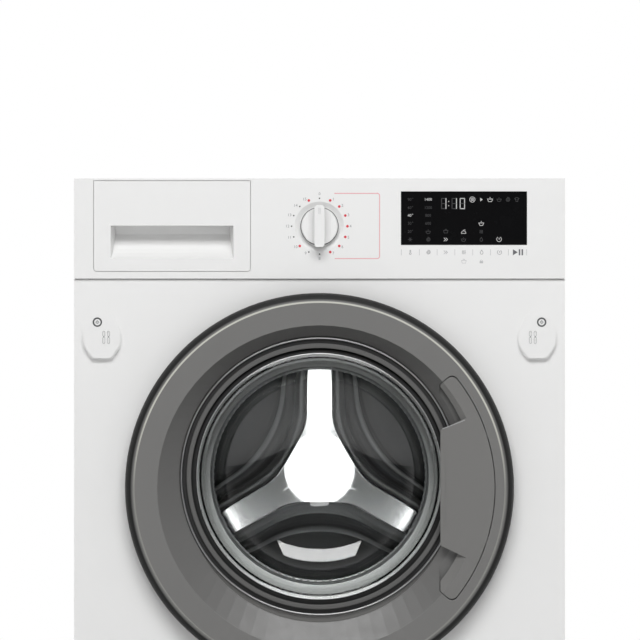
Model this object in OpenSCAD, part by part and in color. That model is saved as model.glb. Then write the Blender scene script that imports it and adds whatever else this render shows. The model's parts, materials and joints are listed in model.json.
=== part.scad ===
// Integrated washing machine: a front loader that stands in a 600 mm kitchen bay behind a furniture door.
// Millimetres. X runs to the right, Y to the back and Z up, from the middle of the footprint on the floor.

/* [Cabinet] */
// Width over the side panels
body_w = 598; // [594:1:602]
// Height from the floor to the top panel
body_h = 820; // [818:1:850]
// Depth from the face of the door to the rear cover
body_d = 540; // [530:1:560]
// Thickness of the painted sheet, paint and stiffening folds included
sheet_t = 2; // [1.5:0.25:2.5]
// Height of the base tray above the floor, with the feet screwed in
foot_h = 22; // [20:0.5:26]
// Height of the toe recess under the front panel
toe_h = 100; // [96:1:108]
// Depth of the toe recess
toe_d = 50; // [44:1:54]
// How far the rear cover and the spigots stand off the rear panel
rear_proud = 14; // [12:0.5:18]
// Width of the openings for hinge pins and screws beyond what passes through them
pin_gap = 0.05; // [0.03:0.01:0.08]

/* [Control panel] */
// Height of the control panel moulding
fascia_h = 122; // [118:1:126]
// Depth of the control panel moulding
fascia_d = 28; // [25:1:32]
// How far the moulding stands in front of the sheet
fascia_proud = 3; // [2:0.5:4]
// Wall of the control panel moulding
fascia_t = 2.4; // [2:0.2:3]
// Gap between the moulding and the front panel
fascia_seam = 0.9; // [0.6:0.1:0.9]
// Width of the display window
display_w = 153.6; // [140:0.2:160]
// Height of the display window
display_h = 65.4; // [55:0.2:70]
// From the side of the cabinet to the display window
display_edge = 46.3; // [40:0.1:56]
// From the top of the cabinet to the display window
display_top = 15.7; // [12:0.1:22]

/* [Program knob] */
// Radius of the knob's disc
knob_r = 23.3; // [20:0.1:24]
// Radius of the dish that the knob sits in
dish_r = 30; // [28:0.5:34]
// Depth of the dish
dish_d = 4; // [3:0.5:6]
// Length of the grip bar
grip_l = 51; // [46:0.5:54]
// Width of the grip bar
grip_w = 12.2; // [10:0.2:14]
// How far the grip stands in front of the control panel
grip_proud = 18; // [14:0.5:22]
// From the top of the cabinet to the knob's centre
knob_top = 58.2; // [54:0.1:64]

/* [Detergent drawer] */
// Width of the drawer's face
drawer_w = 190.4; // [180:0.2:196]
// Height of the drawer's face
drawer_h = 110; // [104:0.5:112]
// From the side of the cabinet to the drawer's face
drawer_edge = 24.3; // [22:0.1:30]
// Length of the tray
tray_l = 258; // [240:1:264]
// Height of the tray's walls
tray_wall_h = 60; // [50:1:64]
// Width of the finger scoop
scoop_w = 149.7; // [130:0.1:154]
// Height of the finger scoop
scoop_h = 40.2; // [34:0.1:44]
// Depth of the finger scoop
scoop_d = 30; // [24:0.5:32]

/* [Door] */
// Outer radius of the door
door_r = 236.5; // [234:0.5:238]
// From the top of the cabinet to the door's centre
door_drop = 376; // [370:1:380]
// How far the door's face stands in front of the sheet
door_proud = 30; // [29:0.5:32]
// Running gap between the door and the sheet
door_gap = 2.5; // [2.3:0.1:3]
// Radius of the darker recess in the face
recess_r = 197.3; // [194:0.1:199]
// Depth of the recess
recess_d = 18; // [15:0.5:20]
// How far the porthole's centre lies above the door's centre
porthole_rise = 13.5; // [10:0.5:16]
// Outer radius of the bright trim around the porthole
trim_r = 170; // [168:0.5:172]
// Radius of the glass that shows inside the bezel
glass_r = 149; // [147:0.5:151]
// Wall of the glass bowl
glass_t = 4.5; // [4:0.25:5.5]
// Depth of the glass bowl behind the door
bowl_d = 86; // [76:1:90]
// Opening angle of the door
door_swing = 110; // [90:5:110]

/* [Door handle] */
// Outer radius of the handle's outline
handle_r = 212.5; // [210:0.5:214]
// Half of the angle that the handle spans
handle_half = 40.5; // [38:0.5:43]
// Half of the angle of the flap that covers the recess
flap_half = 25.5; // [24:0.5:28]
// From the door's centre to the flap's inner edge
flap_x = 146.8; // [144:0.2:150]
// Thickness of the handle
handle_t = 6; // [5:0.5:6.5]

/* [Drum and tub] */
// Outer radius of the drum
drum_r = 236; // [230:1:237]
// Radius of the drum's mouth
mouth_r = 136; // [132:1:140]
// Length of the drum
drum_l = 290; // [280:1:292]
// Thickness of the drum's sheet
drum_t = 1.5; // [1:0.25:2]
// Inner radius of the tub
tub_in = 246; // [245:0.5:246.5]
// Wall of the tub
tub_t = 4; // [3:0.5:4.5]
// Half of the tub's travel on its springs
float_travel = 6; // [4:1:6]
// Radius of the drum's shaft
shaft_r = 12.5; // [11:0.5:13]
// Radius of the drum's pulley
pulley_r = 150; // [144:1:154]
// Radius of the motor's pulley
motor_pulley_r = 11; // [10:0.5:13]
// Height of a lifter inside the drum
lifter_h = 58; // [50:1:62]

/* [Furniture hinge covers] */
// Width of a cover
cover_w = 46.4; // [42:0.2:48]
// Height of a cover
cover_h = 56; // [50:0.5:60]
// Thickness of a cover
cover_t = 6; // [5:0.5:7]
// From the side of the cabinet to a cover's centre
cover_edge = 34; // [30:0.5:36]
// From the top of the cabinet to the upper covers' centre
cover_top = 192; // [185:1:200]
// Height of the lower covers' centre
cover_z_low = 190; // [170:1:210]

/* [Pump and feet] */
// Radius of the filter insert
filter_r = 24; // [22:0.5:25]
// From the side of the cabinet to the filter
filter_edge = 119; // [109:1:129]
// Height of the filter above the floor
filter_z = 67; // [66:0.5:69]
// Radius of a foot's pad
pad_r = 20; // [17:0.5:23]
// Radius of a foot's threaded stud
stud_r = 5; // [4:0.5:6]

/* [Hidden] */
$fn = 96;

// Small overshoot of a cut past a face
eps = 0.1;
// Gap between flat or curved faces that move past each other
slide_gap = 0.3;

// Cabinet planes
side_x = body_w / 2;
side_in = side_x - sheet_t;
face_y = -body_d / 2;
panel_y = face_y + door_proud;
panel_in = panel_y + sheet_t;
rear_y = body_d / 2;
back_y = rear_y - rear_proud;
back_in = back_y - sheet_t;
toe_y = panel_y + toe_d;
kick_t = 3;
kick_in = toe_y + kick_t;
top_in = body_h - sheet_t;
fascia_y = panel_y - fascia_proud;
fascia_back = fascia_y + fascia_d;
fascia_z = body_h - fascia_h;
sheet_top = fascia_z - fascia_seam;

// Drum, tub and porthole axis
door_z = body_h - door_drop;
axis_z = door_z + porthole_rise;
port_r = trim_r + 2;

// Tub, from the front: neck, front wall, seam between the shells, rear wall, bearing hub
tub_r = tub_in + tub_t;
neck_y = panel_in + 40;
neck_l = 18;
tub_front_y = neck_y + neck_l;
neck_in = port_r - 14;
neck_out = neck_in + 6;
drum_front_y = tub_front_y + tub_t + 26;
drum_back_y = drum_front_y + drum_l;
back_plate_t = 2;
spider_t = 10;
tub_rear_y = drum_back_y + spider_t + 8;
tub_rear_t = 5;
tub_seam_y = -20;
flange_t = 5;
flange_out = 6;
hub_r = 36;
hub_l = 28;
hub_back_y = tub_rear_y + tub_rear_t + hub_l;
front_bearing_r = 26;
rear_bearing_r = 23.5;
bearing_l = 13;
front_bearing_y = tub_rear_y + 2;
rear_bearing_y = hub_back_y - bearing_l;
shoulder_r = shaft_r + 3;

// Belt drive
pulley_l = 14;
pulley_gap = 4;
pulley_y = hub_back_y + pulley_gap;
belt_t = 3;
belt_gap = 0.3;
motor_r = 60;
motor_l = 130;
motor_y = 20;
motor_turn = -56;
motor_reach = tub_r + 15.6 + motor_r;
motor_x = motor_reach * cos(motor_turn);
motor_z = axis_z + motor_reach * sin(motor_turn);
motor_shaft_r = 7;

// Door, from the front
door_back_y = panel_y - door_gap;
frame_t = 6.5;
frame_y = door_back_y - frame_t;
recess_y = face_y + recess_d;
glass_flange_t = 4;
glass_flange_w = 13;
bowl_draft = 0.1;
rim_w = 9.3;
rim_d = 13.8;
hinge_in = 14.5;
hinge_x = -door_r + hinge_in;
hinge_off = 16;
hinge_y = panel_y - hinge_off;
hinge_eye_r = 6;
hinge_pin_r = 3;
hinge_arm_h = 20;
hinge_arm_z = 30;
hinge_arm_x = 19;
hinge_reach = 28.5;
lever_x = handle_r - 9.5;
lever_pin_r = 2.5;
lever_pin_z = sqrt(handle_r * handle_r - lever_x * lever_x) - 8;
lever_pin_l = 21;
lever_y = face_y + 4;
handle_gap = 1.1;
handle_corner = 8;
hook_x = 196;
hook_y = frame_y - 1;
hook_pin_r = 2.5;
hook_h = 8;
slot_half_x = 16;
slot_half_z = 10;
lock_d = 30;

// Detergent drawer and its housing
drawer_x0 = -side_x + drawer_edge;
drawer_x1 = drawer_x0 + drawer_w;
drawer_gap = 0.6;
drawer_z1 = body_h - fascia_t - drawer_gap;
drawer_z0 = drawer_z1 - drawer_h;
drawer_t = 4;
drawer_corner = 4.4;
tray_side = 6;
tray_t = 2.5;
tray_x0 = drawer_x0 + tray_side;
tray_x1 = drawer_x1 - tray_side;
tray_y0 = fascia_y + drawer_t;
tray_y1 = tray_y0 + tray_l;
housing_t = 2.5;
housing_z0 = drawer_z0 + 2;
runner_h = 2;
tray_z0 = housing_z0 + housing_t + runner_h + slide_gap;
tray_z1 = tray_z0 + tray_wall_h;
scoop_x0 = (drawer_x0 + drawer_x1 - scoop_w) / 2;
scoop_x1 = scoop_x0 + scoop_w;
scoop_z0 = drawer_z0 + 15.4;
scoop_z1 = scoop_z0 + scoop_h;
scoop_back_h = 10;
scoop_t = 2;
scoop_draft = 5;
bays_y0 = fascia_y + scoop_d + scoop_t + 4;
housing_gap = 3;
housing_x0 = tray_x0 - housing_gap - housing_t;
housing_x1 = tray_x1 + housing_gap + housing_t;
housing_flange = 6;
housing_y1 = tray_y1 + 40;
housing_z1 = top_in - 6;

// Knob
knob_z = body_h - knob_top;
knob_face_y = fascia_y - 2.5;
flank_r = 11;
spindle_r = 3;
spindle_l = 10;

// Display
display_x1 = side_x - display_edge;
display_x0 = display_x1 - display_w;
display_z1 = body_h - display_top;
display_z0 = display_z1 - display_h;
display_gap = 0.15;

// Base, feet and pump
tray_rim_h = 16;
base_floor_t = 4;
base_x = side_in;
boss_r = 14;
boss_h = 26;
pad_h = 14;
stud_top = foot_h + boss_h - 2;
foot_x = side_x - 44;
foot_front_y = toe_y + 34;
foot_rear_y = back_y - 42;
pump_y0 = kick_in + 16;
pump_l = 80;
pump_t = 5;
pump_volute_r = 32;
pump_volute_l = 20;
pump_motor_r = 24;
pump_motor_l = 40;
filter_x = side_x - filter_edge;
filter_front_y = pump_y0 - 7;
filter_grip_y = kick_in + 2;
flap_w = 120;
flap_z0 = filter_z - 31;
flap_z1 = filter_z + 26;
flap_gap = 0.8;

// Rear spigots and gland
valve_x = side_x - 99;
valve_z = body_h - 58;
thread_r = 13.2;
drain_x = side_x - 37;
drain_z = body_h - 130;
spigot_r = 10;
gland_x = 79 - side_x;
gland_z = body_h - 70;
cable_r = 3.75;
collar_t = 2;
service_gap = 8;
service_lap = 14;

// Suspension
spring_x = 240;
spring_y = 108;
spring_r = 12;
spring_wire_r = 2;
spring_turns = 11;
hanger_z = top_in - 48;
hanger_t = 4;
lug_t = 6;
lug_z = axis_z + 150;
damper_x = 150;
damper_y = 0;
damper_r = 15;
damper_rod_r = 6;
damper_show = 60;
damper_top_z = axis_z - sqrt(tub_r * tub_r - damper_x * damper_x) + 4;
damper_eye_z = damper_top_z - 26;
damper_seat_z = foot_h + 12;

module slab(y0, y1) {
    translate([0, y1, 0]) rotate([90, 0, 0]) linear_extrude(y1 - y0) children();
}

// A profile of radius and y, turned about an axis that runs along y through x and z
module turned(x, z) {
    translate([x, 0, z]) rotate([-90, 0, 0]) rotate_extrude() children();
}

module round_rect(x0, z0, x1, z1, r) {
    translate([x0 + r, z0]) square([x1 - x0 - 2 * r, z1 - z0]);
    translate([x0, z0 + r]) square([x1 - x0, z1 - z0 - 2 * r]);
    for (x = [x0 + r, x1 - r], z = [z0 + r, z1 - r]) translate([x, z]) circle(r);
}

module box(x0, x1, y0, y1, z0, z1) {
    translate([x0, y0, z0]) cube([x1 - x0, y1 - y0, z1 - z0]);
}

// A round bar from point a to point b
module rod(a, b, r) {
    v = b - a;
    translate(a) rotate([0, acos(v.z / norm(v)), atan2(v.y, v.x)]) cylinder(h = norm(v), r = r);
}

// A hose along straight runs with round corners at the joints
module hose(points, r) {
    for (i = [1 : len(points) - 1]) rod(points[i - 1], points[i], r);
    for (i = [1 : len(points) - 2]) translate(points[i]) sphere(r);
}

// A bored bar along y
module ring_y(x, z, y0, y1, r_in, r_out) {
    turned(x, z) translate([r_in, y0]) square([r_out - r_in, y1 - y0]);
}

module mirrored_pair() {
    children();
    mirror([1, 0, 0]) children();
}

function arc(c, r, a0, a1, n) = [for (i = [0 : n]) let (a = a0 + (a1 - a0) * i / n)
    [c[0] + r * cos(a), c[1] + r * sin(a)]];

// The corners p, each eased over its own length from r
function rounded(p, r) = [for (i = [0 : len(p) - 1]) let (a = p[(i + len(p) - 1) % len(p)] - p[i],
    b = p[(i + 1) % len(p)] - p[i]) for (k = [0 : 4]) let (t = k / 4)
    p[i] + a / norm(a) * r[i] * pow(1 - t, 2) + b / norm(b) * r[i] * t * t];

// A slice of pie about the origin, for cutting and for handle outlines
module fan(r, a0, a1) {
    intersection() {
        circle(r);
        polygon(concat([[0, 0]], arc([0, 0], 2 * r, a0, a1, 6)));
    }
}

// Cabinet

module base_tray() {
    color("dimgray") difference() {
        union() {
            box(-base_x, base_x, kick_in, back_in, foot_h, foot_h + base_floor_t);
            difference() {
                box(-base_x, base_x, kick_in, back_in, foot_h, foot_h + tray_rim_h);
                box(-base_x + 4, base_x - 4, kick_in + 4, back_in - 4, foot_h, foot_h + tray_rim_h + eps);
            }
            for (x = [-foot_x, foot_x], y = [foot_front_y, foot_rear_y])
                translate([x, y, foot_h]) cylinder(h = boss_h, r = boss_r);
            for (x = [-90, 90]) box(x - 3, x + 3, kick_in + 2, back_in - 2, foot_h, foot_h + 12);
            for (x = [-damper_x, damper_x])
                box(x - 10, x + 10, damper_y - 16, damper_y + 16, foot_h, damper_seat_z);
        }
        for (x = [-foot_x, foot_x], y = [foot_front_y, foot_rear_y])
            translate([x, y, foot_h - eps]) cylinder(h = boss_h + 2 * eps, r = stud_r + pin_gap);
    }
}

bead_zs = [260, 540];
bead_l = 320;
bead_w = 18;
bead_t = 3;

module side_outline() {
    polygon([[toe_y + kick_t, foot_h], [back_in, foot_h], [back_in, top_in], [fascia_back, top_in],
        [fascia_back, sheet_top], [panel_in, sheet_top], [panel_in, toe_h], [toe_y + kick_t, toe_h]]);
}

// The right-hand side panel with its stiffening beads and the bracket that a suspension spring hangs from
module side_panel() {
    translate([side_in, 0, 0]) rotate([90, 0, 90]) linear_extrude(sheet_t) side_outline();
    for (z = bead_zs) along_x(side_in - bead_t, side_in)
        round_rect(back_in - 60 - bead_l, z, back_in - 60, z + bead_w, bead_w / 2 - 0.1);
    box(spring_x - 12, side_in, spring_y - 14, spring_y + 14, hanger_z, hanger_z + hanger_t);
    box(side_in - 4, side_in, spring_y - 14, spring_y + 14, hanger_z - 40, hanger_z + hanger_t);
}

module side_panel_right() {
    color("white") side_panel();
}

module side_panel_left() {
    color("white") mirror([1, 0, 0]) side_panel();
}

module rear_panel() {
    color("gainsboro") difference() {
        union() {
            slab(back_in, back_y) difference() {
                translate([-side_x, foot_h]) square([2 * side_x, top_in - foot_h]);
                belt_outline(service_gap);
            }
            slab(back_in - 12, back_in) translate([-side_in, top_in - 3]) square([2 * side_in, 3]);
        }
        for (p = [[valve_x, valve_z, 10.5], [drain_x, drain_z, 8.5], [gland_x, gland_z, 8.5]])
            slab(back_in - eps, back_y + eps) translate([p[0], p[1]]) circle(p[2]);
        for (p = cap_places()) slab(back_in - eps, back_y + eps) translate(p) circle(cap_r);
    }
}

cap_r = 11;

// Transit bolts reach the tub's rear wall beside the rear cover
function cap_places() = [for (a = [-22, 40, 140, 202]) [0, axis_z] + (tub_r - cap_in) * [cos(a), sin(a)]];
cap_in = 22;

// The dished cover over both pulleys and the belt, raised in two steps, with air slots and four screw lugs
module rear_cover() {
    rise = rear_proud;
    flange = service_gap + service_lap;
    lugs = concat([for (a = [20, 110, 200]) (pulley_r + flange + 4) * [cos(a), sin(a)]],
        [(motor_reach + motor_pulley_r + flange + 4) * [cos(motor_turn), sin(motor_turn)]]);
    color("gainsboro") difference() {
        union() {
            slab(back_y, back_y + 2) belt_outline(flange);
            slab(back_y, back_y + rise / 2) belt_outline(service_gap + 5);
            slab(back_y, back_y + rise) belt_outline(service_gap);
            for (p = lugs) slab(back_y, back_y + 2) translate([p.x, axis_z + p.y]) circle(9);
        }
        slab(back_y - eps, back_y + rise / 2 - 2) belt_outline(service_gap + 3);
        slab(back_y - eps, back_y + rise - 2) belt_outline(service_gap - 2);
        for (p = lugs) slab(back_y - eps, back_y + 2 + eps) translate([p.x, axis_z + p.y]) circle(2.2);
        for (i = [-3 : 3]) slab(back_y + rise - 2 - eps, back_y + rise + eps)
            round_rect(-50, axis_z + 16 * i - 2.5, 50, axis_z + 16 * i + 2.5, 2.4);
    }
}

module top_panel() {
    color("white") {
        box(-side_x, side_x, fascia_back, back_y, top_in, body_h);
        mirrored_pair() box(side_in - 12, side_in, fascia_back + 30, back_in - 14, top_in - 2, top_in);
    }
}

// The painted front sheet: porthole with a rolled lip, slot for the door's hook and a bottom return
module front_panel() {
    color("white") difference() {
        union() {
            slab(panel_y, panel_in) translate([-side_x, toe_h]) square([2 * side_x, sheet_top - toe_h]);
            box(-side_in, side_in, panel_in - eps, kick_in, toe_h, toe_h + sheet_t);
        }
        slab(panel_y - eps, panel_in + eps) translate([0, axis_z]) circle(port_r);
        slab(panel_y - eps, panel_in + 3) round_rect(hook_x - slot_half_x, door_z - slot_half_z,
            hook_x + slot_half_x, door_z + slot_half_z, 3);
        for (p = cover_screw_places())
            slab(panel_y - eps, panel_in + eps) translate(p) circle(screw_r + pin_gap);
    }
}

// Toe panel with the opening for the filter flap
module kick_panel() {
    color("white") difference() {
        slab(toe_y, kick_in) difference() {
            translate([-side_x, foot_h]) square([2 * side_x, toe_h - foot_h]);
            translate([filter_x - flap_w / 2, flap_z0]) square([flap_w, flap_z1 - flap_z0]);
        }
        rod([filter_x - flap_w / 2 - 4, (toe_y + kick_in) / 2, flap_z0 + 2],
            [filter_x + flap_w / 2 + 4, (toe_y + kick_in) / 2, flap_z0 + 2], flap_pin_r + pin_gap);
    }
}

flap_pin_r = 1;

// Control panel

module control_fascia() {
    color("white") difference() {
        union() {
            difference() {
                box(-side_x, side_x, fascia_y, fascia_back, fascia_z, body_h);
                box(-side_x + fascia_t, side_x - fascia_t, fascia_y + fascia_t, fascia_back + eps,
                    fascia_z + fascia_t, body_h - fascia_t);
            }
            ring_y(0, knob_z, fascia_y + fascia_t - eps, fascia_y + dish_d + fascia_t, spindle_r + pin_gap,
                dish_r + 2);
        }
        slab(fascia_y - eps, fascia_y + fascia_t + eps) drawer_outline(drawer_gap);
        turned(0, knob_z) polygon([[0, fascia_y - eps], [dish_r, fascia_y - eps], [dish_r, fascia_y],
            [knob_r + 1, fascia_y + dish_d], [0, fascia_y + dish_d]]);
        slab(fascia_y, fascia_y + dish_d + fascia_t + 1) translate([0, knob_z]) circle(spindle_r + pin_gap);
        slab(fascia_y - eps, fascia_y + fascia_t + eps) translate([display_x0, display_z0])
            square([display_w, display_h]);
    }
}

module display_window() {
    color("black") slab(fascia_y, fascia_y + fascia_t) round_rect(display_x0 + display_gap,
        display_z0 + display_gap, display_x1 - display_gap, display_z1 - display_gap, 0.5);
}

// Electronics carrier behind the display, with touch pads under the display and the knob's encoder
module control_board() {
    wall = fascia_y + fascia_t;
    color("darkgreen") {
        box(display_x0 - 6, display_x1 + 6, wall, wall + 14, fascia_z + 8, display_z1 + 5);
        box(dish_r - 6, display_x0 - 6, wall + 5, wall + 8, knob_z - 25, knob_z + 25);
        difference() {
            box(-20, dish_r - 6, fascia_y + dish_d + fascia_t, fascia_y + dish_d + fascia_t + 12,
                knob_z - 18, knob_z + 18);
            slab(fascia_y, fascia_y + dish_d + fascia_t + spindle_l + 1)
                translate([0, knob_z]) circle(spindle_r + pin_gap);
        }
    }
}

// Knob: a disc with a raised grip bar whose flanks sweep out into the disc
module program_knob() {
    tip = knob_face_y - grip_proud + 3;
    flank = [for (a = [0 : 15 : 90])
        [grip_w / 2 - 0.5 + flank_r * (1 - cos(a)), knob_face_y - flank_r * (1 - sin(a))]];
    color("white") difference() {
        union() {
            intersection() {
                slab(knob_face_y - flank_r, knob_face_y + 1) translate([0, knob_z]) circle(knob_r - 1);
                translate([0, 0, knob_z - knob_r]) linear_extrude(2 * knob_r) polygon(concat(flank,
                    [for (i = [len(flank) - 1 : -1 : 0]) [-flank[i].x, flank[i].y]]));
            }
            turned(0, knob_z) polygon([[0, knob_face_y], [knob_r - 2, knob_face_y], [knob_r, knob_face_y + 2],
                [knob_r, fascia_y + dish_d - slide_gap], [spindle_r + 4, fascia_y + dish_d - slide_gap],
                [0, fascia_y + dish_d - slide_gap]]);
            slab(tip, fascia_y + dish_d - 1.5) round_rect(-grip_w / 2, knob_z - grip_l / 2, grip_w / 2,
                knob_z + grip_l / 2, 3.5);
            slab(fascia_y, fascia_y + dish_d + fascia_t + spindle_l) translate([0, knob_z]) circle(spindle_r);
        }
        slab(tip - eps, tip + 0.5) round_rect(-0.8, knob_z + grip_l / 2 - 14, 0.8, knob_z + grip_l / 2 - 4, 0.7);
    }
}

// Detergent drawer

// Section of the finger scoop: a steep back and a floor that curves up to it
module scoop_section() {
    polygon(concat([[fascia_y - eps, scoop_z0], [fascia_y - eps, scoop_z1], [fascia_y + scoop_d, scoop_z1]],
        [for (i = [0 : 8]) let (t = i / 8) [fascia_y + scoop_d * cos(90 * t),
            scoop_z1 - scoop_back_h - (scoop_h - scoop_back_h) * (1 - cos(90 * t)) * (2 - t)]]));
}

// The drawer's face grown by g, with round corners at the bottom only
module drawer_outline(g) {
    round_rect(drawer_x0 - g, drawer_z0 - g, drawer_x1 + g, drawer_z1 + g, drawer_corner - drawer_gap + g);
    translate([drawer_x0 - g, drawer_z1 - 20]) square([drawer_w + 2 * g, 20 + g]);
}

module along_x(x0, x1) {
    translate([x0, 0, 0]) rotate([90, 0, 90]) linear_extrude(x1 - x0) children();
}

module drawer_front() {
    color("white") difference() {
        union() {
            slab(fascia_y, fascia_y + drawer_t) drawer_outline(0);
            box(scoop_x0 - scoop_t, scoop_x1 + scoop_t, fascia_y + drawer_t - eps, fascia_y + scoop_d + scoop_t,
                tray_z0 + tray_t + slide_gap, scoop_z1 + scoop_t);
        }
        intersection() {
            along_x(scoop_x0, scoop_x1) scoop_section();
            translate([0, 0, scoop_z0 - 1]) linear_extrude(scoop_h + 2) polygon([[scoop_x0, fascia_y - eps],
                [scoop_x1, fascia_y - eps], [scoop_x1 - scoop_draft, fascia_y + scoop_d],
                [scoop_x0 + scoop_draft, fascia_y + scoop_d]]);
        }
    }
}

// Tray with a bay for the main wash, the prewash and the softener
module drawer_tray() {
    color("whitesmoke") difference() {
        union() {
            difference() {
                box(tray_x0, tray_x1, tray_y0, tray_y1, tray_z0, tray_z1);
                box(tray_x0 + tray_t, tray_x1 - tray_t, tray_y0 - eps, bays_y0 - tray_t, tray_z0 + tray_t,
                    tray_z1 + eps);
                for (i = [0 : 2]) let (x = tray_x0 + tray_t + i * (bay_w + tray_t))
                    box(x, x + bay_w, bays_y0, tray_y1 - tray_t, tray_z0 + tray_t, tray_z1 + eps);
            }
            translate([siphon_x, siphon_y, tray_z0]) cylinder(h = 32, r = 5.5);
        }
        translate([siphon_x, siphon_y, tray_z0 - eps]) cylinder(h = 33, r = 3.8);
        for (i = [0, 1]) let (x = tray_x0 + tray_t + i * (bay_w + tray_t))
            box(x + 6, x + bay_w - 6, tray_y1 - tray_t - eps, tray_y1 + eps, tray_z0 + tray_t, tray_z0 + 22);
        box(tray_x0 - eps, tray_x1 + eps, tray_y1 - 70, tray_y1 + eps, tray_z1 - 12, tray_z1 + eps);
    }
}

siphon_l = 34;
bay_w = (tray_x1 - tray_x0 - 4 * tray_t) / 3;
siphon_x = tray_x1 - tray_t - bay_w / 2;
siphon_y = tray_y1 - tray_t - 1 - siphon_l / 2;

// Lift-out siphon that closes the back of the softener bay
module softener_siphon() {
    x1 = siphon_x + bay_w / 2 - 1;
    x0 = siphon_x - bay_w / 2 + 1;
    y1 = siphon_y + siphon_l / 2;
    floor_z = tray_z0 + tray_t;
    color("deepskyblue") difference() {
        union() {
            box(x0, x1, y1 - siphon_l, y1, floor_z + 38, floor_z + 41);
            box(x0, x0 + 2, y1 - siphon_l, y1, floor_z, floor_z + 38);
            box(x1 - 2, x1, y1 - siphon_l, y1, floor_z, floor_z + 38);
            translate([siphon_x, siphon_y, floor_z + 4]) cylinder(h = 38, r = 9);
            box(siphon_x - 2, siphon_x + 2, y1 - siphon_l + 2, y1 - 2, floor_z + 40, floor_z + 45);
        }
        translate([siphon_x, siphon_y, floor_z - eps]) cylinder(h = 38, r = 7);
    }
}

// Housing that the drawer runs in, open at the front, with two runners and the outlet to the tub
module dispenser_housing() {
    y0 = fascia_y + fascia_t;
    y1 = tray_y0 + slide_gap;
    color("lightgray") {
        difference() {
            union() {
                box(housing_x0 - housing_flange, housing_x1 + housing_flange, y0, y1 + housing_t,
                    housing_z0 - housing_flange, body_h - fascia_t);
                box(housing_x0, housing_x1, y1, housing_y1, housing_z0, housing_z1);
            }
            slab(y0 - eps, y1) drawer_outline(drawer_gap);
            box(housing_x0 + housing_t, housing_x1 - housing_t, y0 - eps, housing_y1 - housing_t,
                housing_z0 + housing_t, housing_z1 - housing_t);
            translate([fill_x, fill_y, housing_z0 - eps]) cylinder(h = housing_t + 2 * eps, r = fill_r - 4);
        }
        for (x = [tray_x0 + 12, tray_x1 - 12]) box(x - 2, x + 2, y1, tray_y1,
            housing_z0 + housing_t - eps, housing_z0 + housing_t + runner_h);
        rod([hose_in_x, housing_y1 - eps, hose_in_z], [hose_in_x, housing_y1 + 12, hose_in_z], 6);
    }
}

fill_x = (tray_x1 + tray_x0) / 2 + 46;
fill_y = housing_y1 - 24;
fill_r = 16;
hose_in_x = tray_x1 - 20;
hose_in_z = housing_z1 - 14;

// Water path

module inlet_valve() {
    color("white") {
        ring_y(valve_x, valve_z, back_y, back_y + collar_t, 0, thread_r + 4);
        rod([valve_x, back_y, valve_z], [valve_x, rear_y, valve_z], thread_r);
        rod([valve_x, back_y - 26, valve_z], [valve_x, back_y + eps, valve_z], 10);
        box(valve_x - 16, valve_x + 16, back_y - 60, back_y - 24, valve_z - 14, valve_z + 14);
        rod([valve_x, back_y - 44, valve_z - 40], [valve_x, back_y - 44, valve_z - 13], 15);
        rod([valve_x, back_y - 72, valve_z], [valve_x, back_y - 60 + eps, valve_z], 6);
    }
}

module inlet_hose() {
    y = housing_y1 + 60;
    color("white") hose([[valve_x, back_y - 72, valve_z], [valve_x, y, valve_z], [valve_x, y, hose_in_z],
        [hose_in_x, y, hose_in_z], [hose_in_x, housing_y1 + 12, hose_in_z]], 7);
}

module fill_hose() {
    top = housing_z0;
    low = axis_z + sqrt(tub_r * tub_r - fill_x * fill_x) + 12;
    ribs = 4;
    step = (top - low) / ribs;
    color("black") translate([fill_x, fill_y, 0]) rotate_extrude() polygon(concat([[fill_r - 5, low]],
        [for (i = [0 : ribs - 1]) each [[fill_r, low + i * step], [fill_r + 2, low + (i + 0.5) * step]]],
        [[fill_r, top], [fill_r - 5, top]]));
}

module sump_hose() {
    low = pump_top_z;
    top = sump_z - slide_gap;
    ribs = 14;
    step = (top - low) / ribs;
    color("black") translate([filter_x, pump_in_y, 0]) rotate_extrude() polygon(concat([[14, low]],
        [for (i = [0 : ribs - 1]) each [[18, low + i * step], [21, low + (i + 0.5) * step]]],
        [[18, top], [14, top]]));
}

pump_in_y = pump_y0 + 50;
sump_z = axis_z - sqrt(tub_r * tub_r - filter_x * filter_x) - 22;
pump_top_z = filter_z + 42;

// Pump: filter barrel, inlet neck, volute, motor and its feet on the base tray
module drain_pump() {
    y1 = pump_y0 + pump_l;
    y2 = y1 + pump_volute_l;
    barrel = filter_r + pin_gap + pump_t;
    floor_z = foot_h + base_floor_t;
    color("gray") difference() {
        union() {
            rod([filter_x, pump_y0, filter_z], [filter_x, y1, filter_z], barrel);
            rod([filter_x, y1 - eps, filter_z], [filter_x, y2, filter_z], pump_volute_r);
            rod([filter_x, y2 - eps, filter_z], [filter_x, y2 + pump_motor_l, filter_z], pump_motor_r);
            rod([filter_x, pump_in_y, filter_z], [filter_x, pump_in_y, pump_top_z], 18);
            rod([filter_x, y1 + pump_volute_l / 2, filter_z],
                [filter_x + 50, y1 + pump_volute_l / 2, filter_z], 9);
            box(filter_x - 20, filter_x + 20, pump_y0 + 6, pump_y0 + 16, floor_z, filter_z);
            box(filter_x - 20, filter_x + 20, y2 + 10, y2 + 20, floor_z, filter_z);
        }
        turned(filter_x, filter_z) polygon([[0, pump_y0 - eps], [filter_r + pin_gap, pump_y0 - eps],
            [filter_r + pin_gap, y1 - 4], [filter_r - 2, y1 - 4], [filter_r - 2, y2 - 4],
            [2.5 + pin_gap, y2 - 4], [2.5 + pin_gap, y2 + 14], [0, y2 + 14]]);
        rod([filter_x, pump_in_y, filter_z], [filter_x, pump_in_y, pump_top_z + eps], 14);
        rod([filter_x, y1 + pump_volute_l / 2, filter_z], [filter_x + 51, y1 + pump_volute_l / 2, filter_z], 6);
    }
}

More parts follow.
